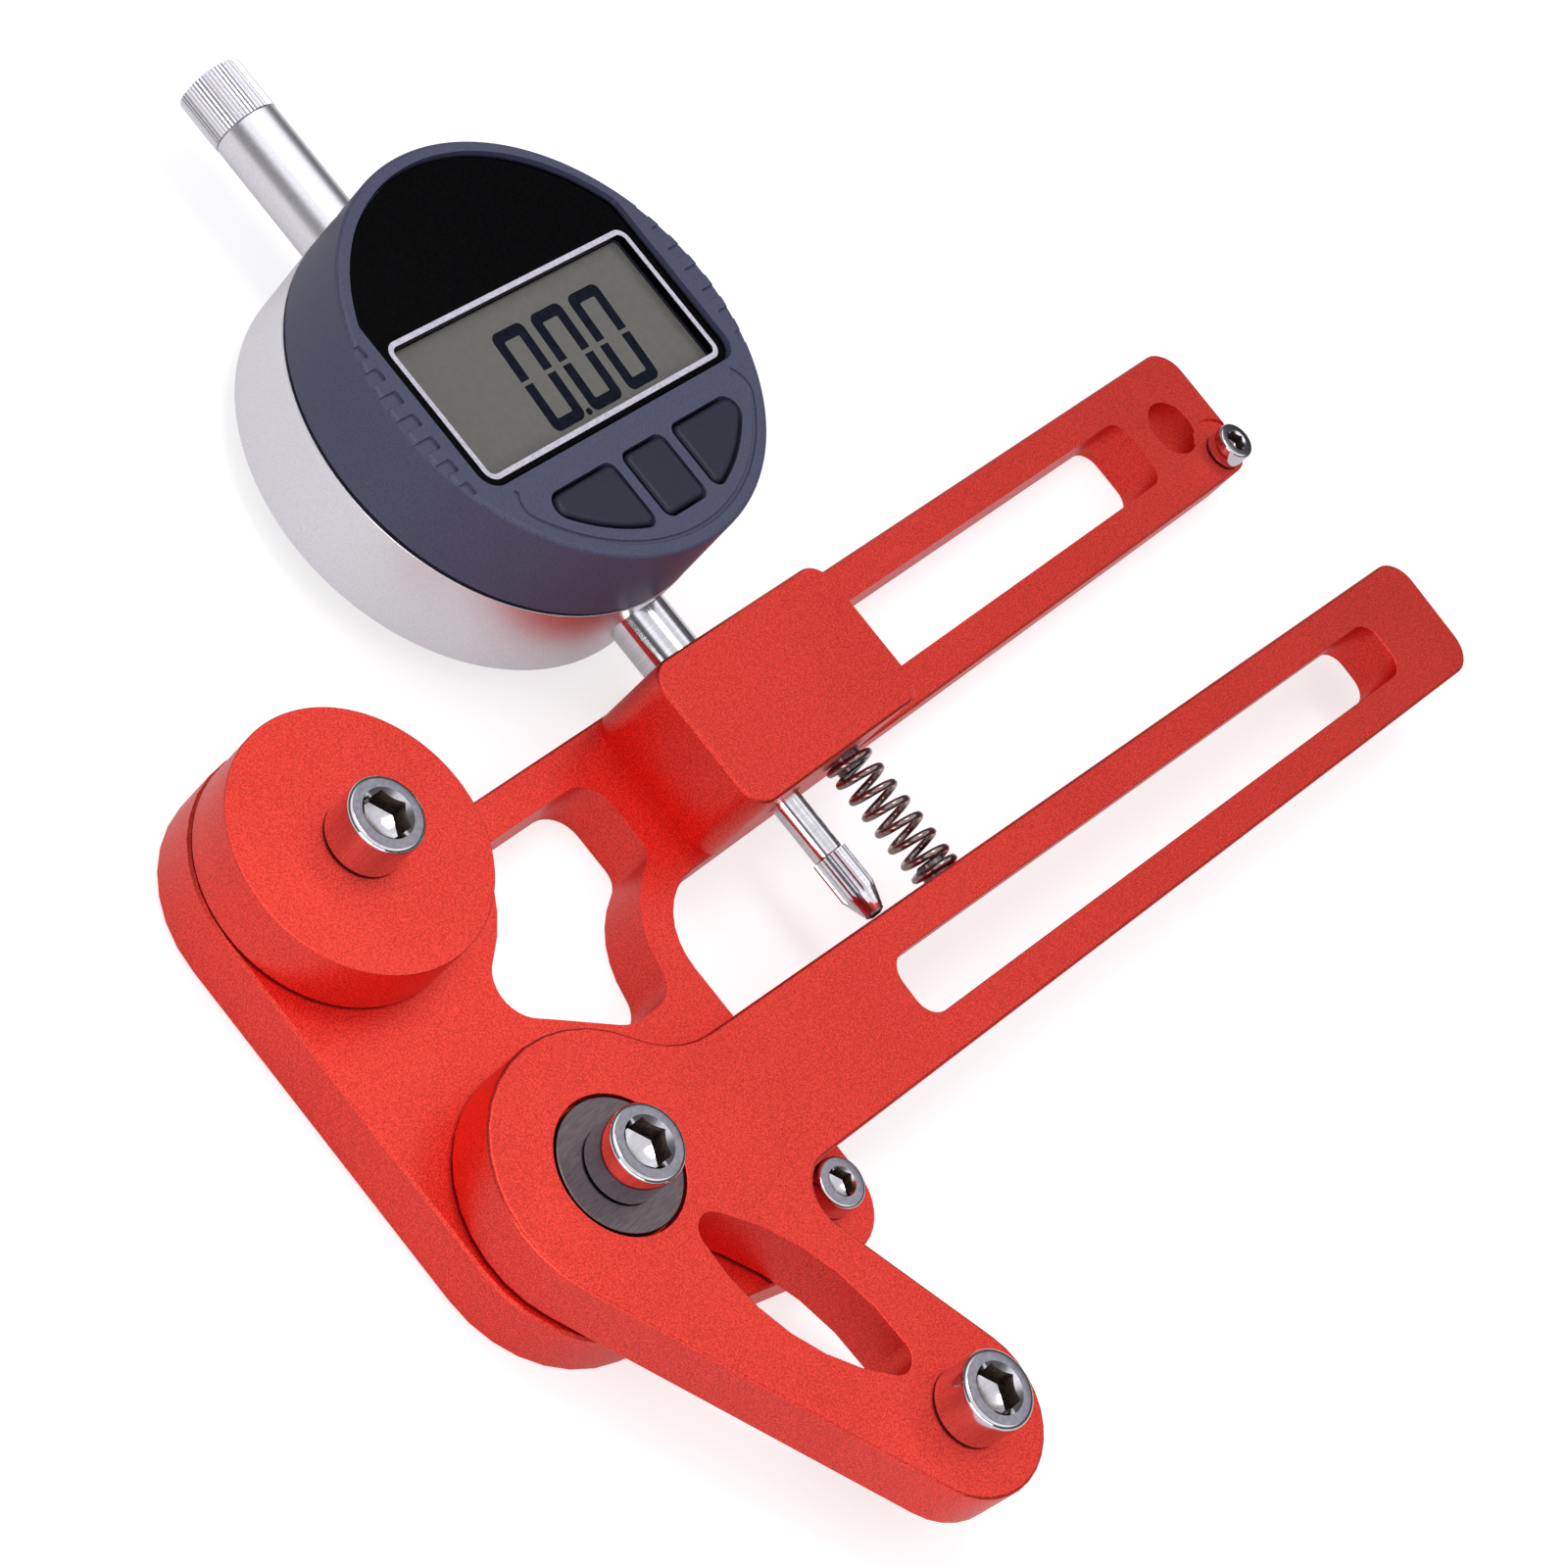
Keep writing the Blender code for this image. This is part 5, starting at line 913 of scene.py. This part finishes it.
cup = carve(cup, swept_groove())
bmesh.ops.translate(cup, verts=cup.verts, vec=INDICATOR)
bmesh.ops.dissolve_limit(cup, angle_limit=math.radians(0.5), verts=cup.verts, edges=cup.edges)
finish_piece("bezel_moulded", cup, slate_abs, "bezel", edge=BEZEL_EDGE, limit=40.0)

# %% [markdown]
# ## Window and display
# The black window is a plate with the display's opening in it, and the pale line is a thin printed frame on
# that plate. The digits are made as a real display makes them: seven slanted bars, of which a zero lights
# six.

# %% Window plate and pale frame
FRAME_LINE = 0.0007
FRAME_MARGIN = 0.00075
FRAME_CORNER = 0.0017
PRINT_THICKNESS = 0.00004
PANE_EDGE = 0.0001
left, right, low, high = sides_of("lcd_panel")
opening = rectangle(left, right, low, high, LCD_CORNER)
window = carve(slab(window_rounds(0.0), INDICATOR, window_low.z, window_high.z),
               slab(opening, INDICATOR, window_low.z - GAP, window_high.z + GAP))
finish_piece("window_plate", window, black_acrylic, "display_window", edge=PANE_EDGE)
inset = FRAME_MARGIN - FRAME_LINE
outer = rectangle(left - FRAME_MARGIN, right + FRAME_MARGIN, low - FRAME_MARGIN, high + FRAME_MARGIN,
                  FRAME_CORNER)
within = rectangle(left - inset, right + inset, low - inset, high + inset, FRAME_CORNER - FRAME_LINE)
line = carve(slab(outer, INDICATOR, window_high.z - PRINT_THICKNESS, window_high.z + PRINT_THICKNESS),
             slab(within, INDICATOR, window_high.z - GAP, window_high.z + GAP))
finish_piece("window_line", line, pale_print, "display_window", stands_for=False)

# %% Display glass
lcd_low, lcd_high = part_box("lcd_panel")
glass = slab(opening, INDICATOR, lcd_low.z, lcd_high.z)
finish_piece("display_panel", glass, lcd_glass, "lcd_panel", edge=PANE_EDGE)

# %% Digits
DIGIT_SLANT = math.tan(math.radians(5.0))
DIGIT_LOW = -0.0088
DIGIT_HEIGHT = 0.0141
DIGIT_WIDTH = 0.0059
DIGIT_PITCH = 0.0074
DIGIT_LEFT = -0.0076
BAR = 0.0015
BAR_GAP = 0.0006
DIGIT_CORNER = 0.0011
DOT = 0.0009
SEGMENT_HEIGHT = 0.00005


def zero(x):
    """A lit zero: a rounded ring of bars, parted at half height where two bars meet."""
    right = x + DIGIT_WIDTH
    middle = 0.5 * DIGIT_HEIGHT
    outer = rectangle(x, right, 0.0, DIGIT_HEIGHT, DIGIT_CORNER)
    within = rectangle(x + BAR, right - BAR, BAR, DIGIT_HEIGHT - BAR, 0.25 * DIGIT_CORNER)
    parting = rectangle(x - BAR, right + BAR, middle - 0.5 * BAR_GAP, middle + 0.5 * BAR_GAP,
                        0.2 * BAR_GAP)
    ring = carve(slab(outer, origin, 0.0, SEGMENT_HEIGHT), slab(within, origin, -GAP, GAP))
    return carve(ring, slab(parting, origin, -GAP, GAP))


shapes = [zero(index * DIGIT_PITCH) for index in range(3)]
dot_left = DIGIT_PITCH - 0.5 * (DIGIT_PITCH - DIGIT_WIDTH) - 0.5 * DOT
shapes.append(slab(rectangle(dot_left, dot_left + DOT, 0.0, DOT, 0.4 * DOT), origin, 0.0, SEGMENT_HEIGHT))
digits = together(shapes)
slant = Matrix(((1.0, DIGIT_SLANT, 0.0), (0.0, 1.0, 0.0), (0.0, 0.0, 1.0)))
bmesh.ops.transform(digits, matrix=slant.to_4x4(), verts=digits.verts)
corner_place = INDICATOR + Vector((DIGIT_LEFT, DIGIT_LOW, lcd_high.z - 0.4 * SEGMENT_HEIGHT))
bmesh.ops.translate(digits, verts=digits.verts, vec=corner_place)
finish_piece("display_digits", digits, lcd_ink, "lcd_panel", stands_for=False)

# %% [markdown]
# ## Buttons
# Each button is a moulded key with a crowned top and soft edges, standing just proud of the bezel. A slab
# of the same outline as its hole, with a wider rounded edge, is all it needs.

# %% Three buttons
KEY_EDGE = 0.0006


def key(node, rounds):
    """A moulded key that fills its node's height."""
    low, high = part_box(node)
    return finish_piece(node + "_key", slab(rounds, INDICATOR, low.z, high.z), dark_abs, node,
                        edge=KEY_EDGE, limit=50.0, segments=3)


key("power_button", grown_rectangle("power_button", BUTTON_CORNER, 0.0))
key("unit_button", side_button_rounds("unit_button", 0.0))
key("zero_button", side_button_rounds("zero_button", 0.0))

# %% [markdown]
# ## The back and the inside
# Behind, the indicator closes with a turned cover, four small cross-head screws and a battery lid with a coin
# slot. The screws are copied and get their cross, and the pieces inside only need whole faces, smooth
# shading and their own finish.

# %% Cross-head cover screws
CROSS_WIDTH = 0.0005
CROSS_REACH = 0.0011
CROSS_DEPTH = 0.0006
CROSS_EDGE = 0.00008
for index in range(1, 5):
    node = f"back_cover_screw_{index}"
    low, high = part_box(node)
    middle = 0.5 * (low + high)
    middle.z = low.z
    screw = copy_of(node)
    for wide, tall in ((CROSS_REACH, 0.5 * CROSS_WIDTH), (0.5 * CROSS_WIDTH, CROSS_REACH)):
        rounds = rectangle(-wide, wide, -tall, tall, 0.4 * min(wide, tall))
        screw = carve(screw, slab(rounds, middle, -CROSS_DEPTH, CROSS_DEPTH))
    finish_piece(node + "_crossed", screw, polished_nickel, node, edge=CROSS_EDGE, limit=50.0)

# %% Everything else
plain_nodes = {
    "back_cover": turned_aluminium, "battery_lid": turned_aluminium, "coin_cell": polished_nickel,
    "guide_rod": ground_steel, "sensor_board": green_laminate, "circuit_board": green_laminate,
    "keypad_mat": grey_rubber, "scale_carriage": white_nylon, "thrust_washer": white_nylon,
    "spindle_spring": spring_steel, "bezel_clip_ring": spring_steel, "stem_clamp_screw": blackened_steel,
    "upper_spring_pin": blackened_steel, "lower_spring_pin": blackened_steel,
}
for node, finish in plain_nodes.items():
    finish_piece(node + "_smooth", copy_of(node), finish, node, limit=40.0)
print("pieces made:", len(made_pieces))

# %% [markdown]
# ## Studio
# The photograph shows the meter from above its left end on pure white. Its polished rods carry dark and white
# streaks, its left walls are bright and its top faces fade towards the right end. So the sky is built in
# rings: dark at the horizon, a bright ring at three quarters of the height, and a slightly duller cap above.
# One lamp overhead gives the shadows an edge and two weak ones, low on the left, light the walls. The floor
# stays a pale grey for the light that falls on it. Camera rays see it lifted to white, and glossy rays half
# way, so that the metals show it too.

# %% Floor
FLOOR_SIZE = 3.0
FLOOR_DROP = 0.0002
WHITE_LIFT = 0.70
MIRROR_SHARE = 0.48
shape = bmesh.new()
bmesh.ops.create_grid(shape, x_segments=1, y_segments=1, size=0.5 * FLOOR_SIZE)
bmesh.ops.translate(shape, verts=shape.verts, vec=(0.0, 0.0, -FLOOR_DROP))
mesh = bpy.data.meshes.new("floor")
shape.to_mesh(mesh)
shape.free()
floor = bpy.data.objects.new("floor", mesh)
bpy.context.scene.collection.objects.link(floor)
pale_paper = bpy.data.materials.new("pale_paper")
pale_paper.use_nodes = True
tree = pale_paper.node_tree
path = add_node(tree, "ShaderNodeLightPath")
seen = add_node(tree, "ShaderNodeMath", {0: path.outputs["Is Glossy Ray"], 1: MIRROR_SHARE,
                                         2: path.outputs["Is Camera Ray"]}, operation="MULTIPLY_ADD")
lift = add_node(tree, "ShaderNodeMath", {0: seen.outputs[0], 1: WHITE_LIFT}, operation="MULTIPLY")
matt = add_node(tree, "ShaderNodeBsdfDiffuse", {"Color": linear_colour("#B4B2B4")})
glow = add_node(tree, "ShaderNodeEmission", {"Color": linear_colour("#FFFFFF"), "Strength": lift.outputs[0]})
both = add_node(tree, "ShaderNodeAddShader", {0: matt.outputs[0], 1: glow.outputs[0]})
tree.links.new(both.outputs[0], tree.nodes["Material Output"].inputs["Surface"])
mesh.materials.append(pale_paper)
print("floor", FLOOR_SIZE, "m wide")

# %% Sky
SKY_STRENGTH = 1.28
SKY_BLUE = 1.03
world = bpy.data.worlds.new("studio_sky")
bpy.context.scene.world = world
world.use_nodes = True
tree = world.node_tree
direction = add_node(tree, "ShaderNodeTexCoord").outputs["Generated"]
height = add_node(tree, "ShaderNodeSeparateXYZ", {"Vector": direction}).outputs["Z"]
sky = add_node(tree, "ShaderNodeValToRGB", {"Fac": height})
SKY_RINGS = ((0.00, 0.08), (0.50, 0.10), (0.60, 0.20), (0.70, 1.00), (0.80, 1.00), (0.88, 0.70), (1.00, 0.70))
while len(sky.color_ramp.elements) < len(SKY_RINGS):
    sky.color_ramp.elements.new(0.5)
for ring, (position, level) in zip(sky.color_ramp.elements, SKY_RINGS):
    ring.position = position
    ring.color = (level, level, SKY_BLUE * level, 1.0)
path = add_node(tree, "ShaderNodeLightPath")
lit = tree.nodes["Background"]
tree.links.new(sky.outputs["Color"], lit.inputs["Color"])
white = add_node(tree, "ShaderNodeBackground", {"Color": (1.0, 1.0, 1.0, 1.0), "Strength": 1.0})
seen = add_node(tree, "ShaderNodeMixShader",
                {0: path.outputs["Is Camera Ray"], 1: lit.outputs[0], 2: white.outputs[0]})
tree.links.new(seen.outputs[0], tree.nodes["World Output"].inputs["Surface"])
lit.inputs["Strength"].default_value = SKY_STRENGTH
print("sky ready")

# %% Lamps
def softbox(name, place, target, size, power):
    """A square area lamp that faces a target."""
    lamp = bpy.data.lights.new(name, "AREA")
    lamp.shape = "SQUARE"
    lamp.size = size
    lamp.energy = power
    holder = bpy.data.objects.new(name, lamp)
    holder.location = place
    holder.rotation_euler = (Vector(target) - Vector(place)).to_track_quat("-Z", "Y").to_euler()
    bpy.context.scene.collection.objects.link(holder)
    return holder


SOFTBOX = 0.30
MIDDLE = (0.07, 0.03, 0.01)
PIVOT = (0.00, 0.00, 0.02)
softbox("top_softbox", (0.10, 0.25, 1.00), MIDDLE, SOFTBOX, power=2.4)
softbox("left_softbox", (-0.45, -0.06, 0.06), PIVOT, SOFTBOX, power=1.25)
softbox("front_softbox", (-0.33, -0.30, 0.06), PIVOT, SOFTBOX, power=0.45)
print("three softboxes")

# %% [markdown]
# ## Camera
# The camera was worked out from the round screw heads, the discs and the straight arm edges in the
# photograph, so its place, its three angles and its lens are facts of the picture. A square picture on a
# 36 mm sensor needs an 86 mm lens.

# %% Camera
CAMERA_PLACE = (-0.26662, 0.00218, 0.32488)
CAMERA_ANGLES = (34.724, -33.004, -48.160)
CAMERA_LENS = 86.28
lens = bpy.data.cameras.new("camera")
lens.sensor_width = 36.0
lens.lens = CAMERA_LENS
camera = bpy.data.objects.new("camera", lens)
camera.location = CAMERA_PLACE
camera.rotation_euler = [math.radians(angle) for angle in CAMERA_ANGLES]
bpy.context.scene.collection.objects.link(camera)
bpy.context.scene.camera = camera
bpy.context.scene.view_settings.view_transform = "Standard"
print("camera at", CAMERA_PLACE)
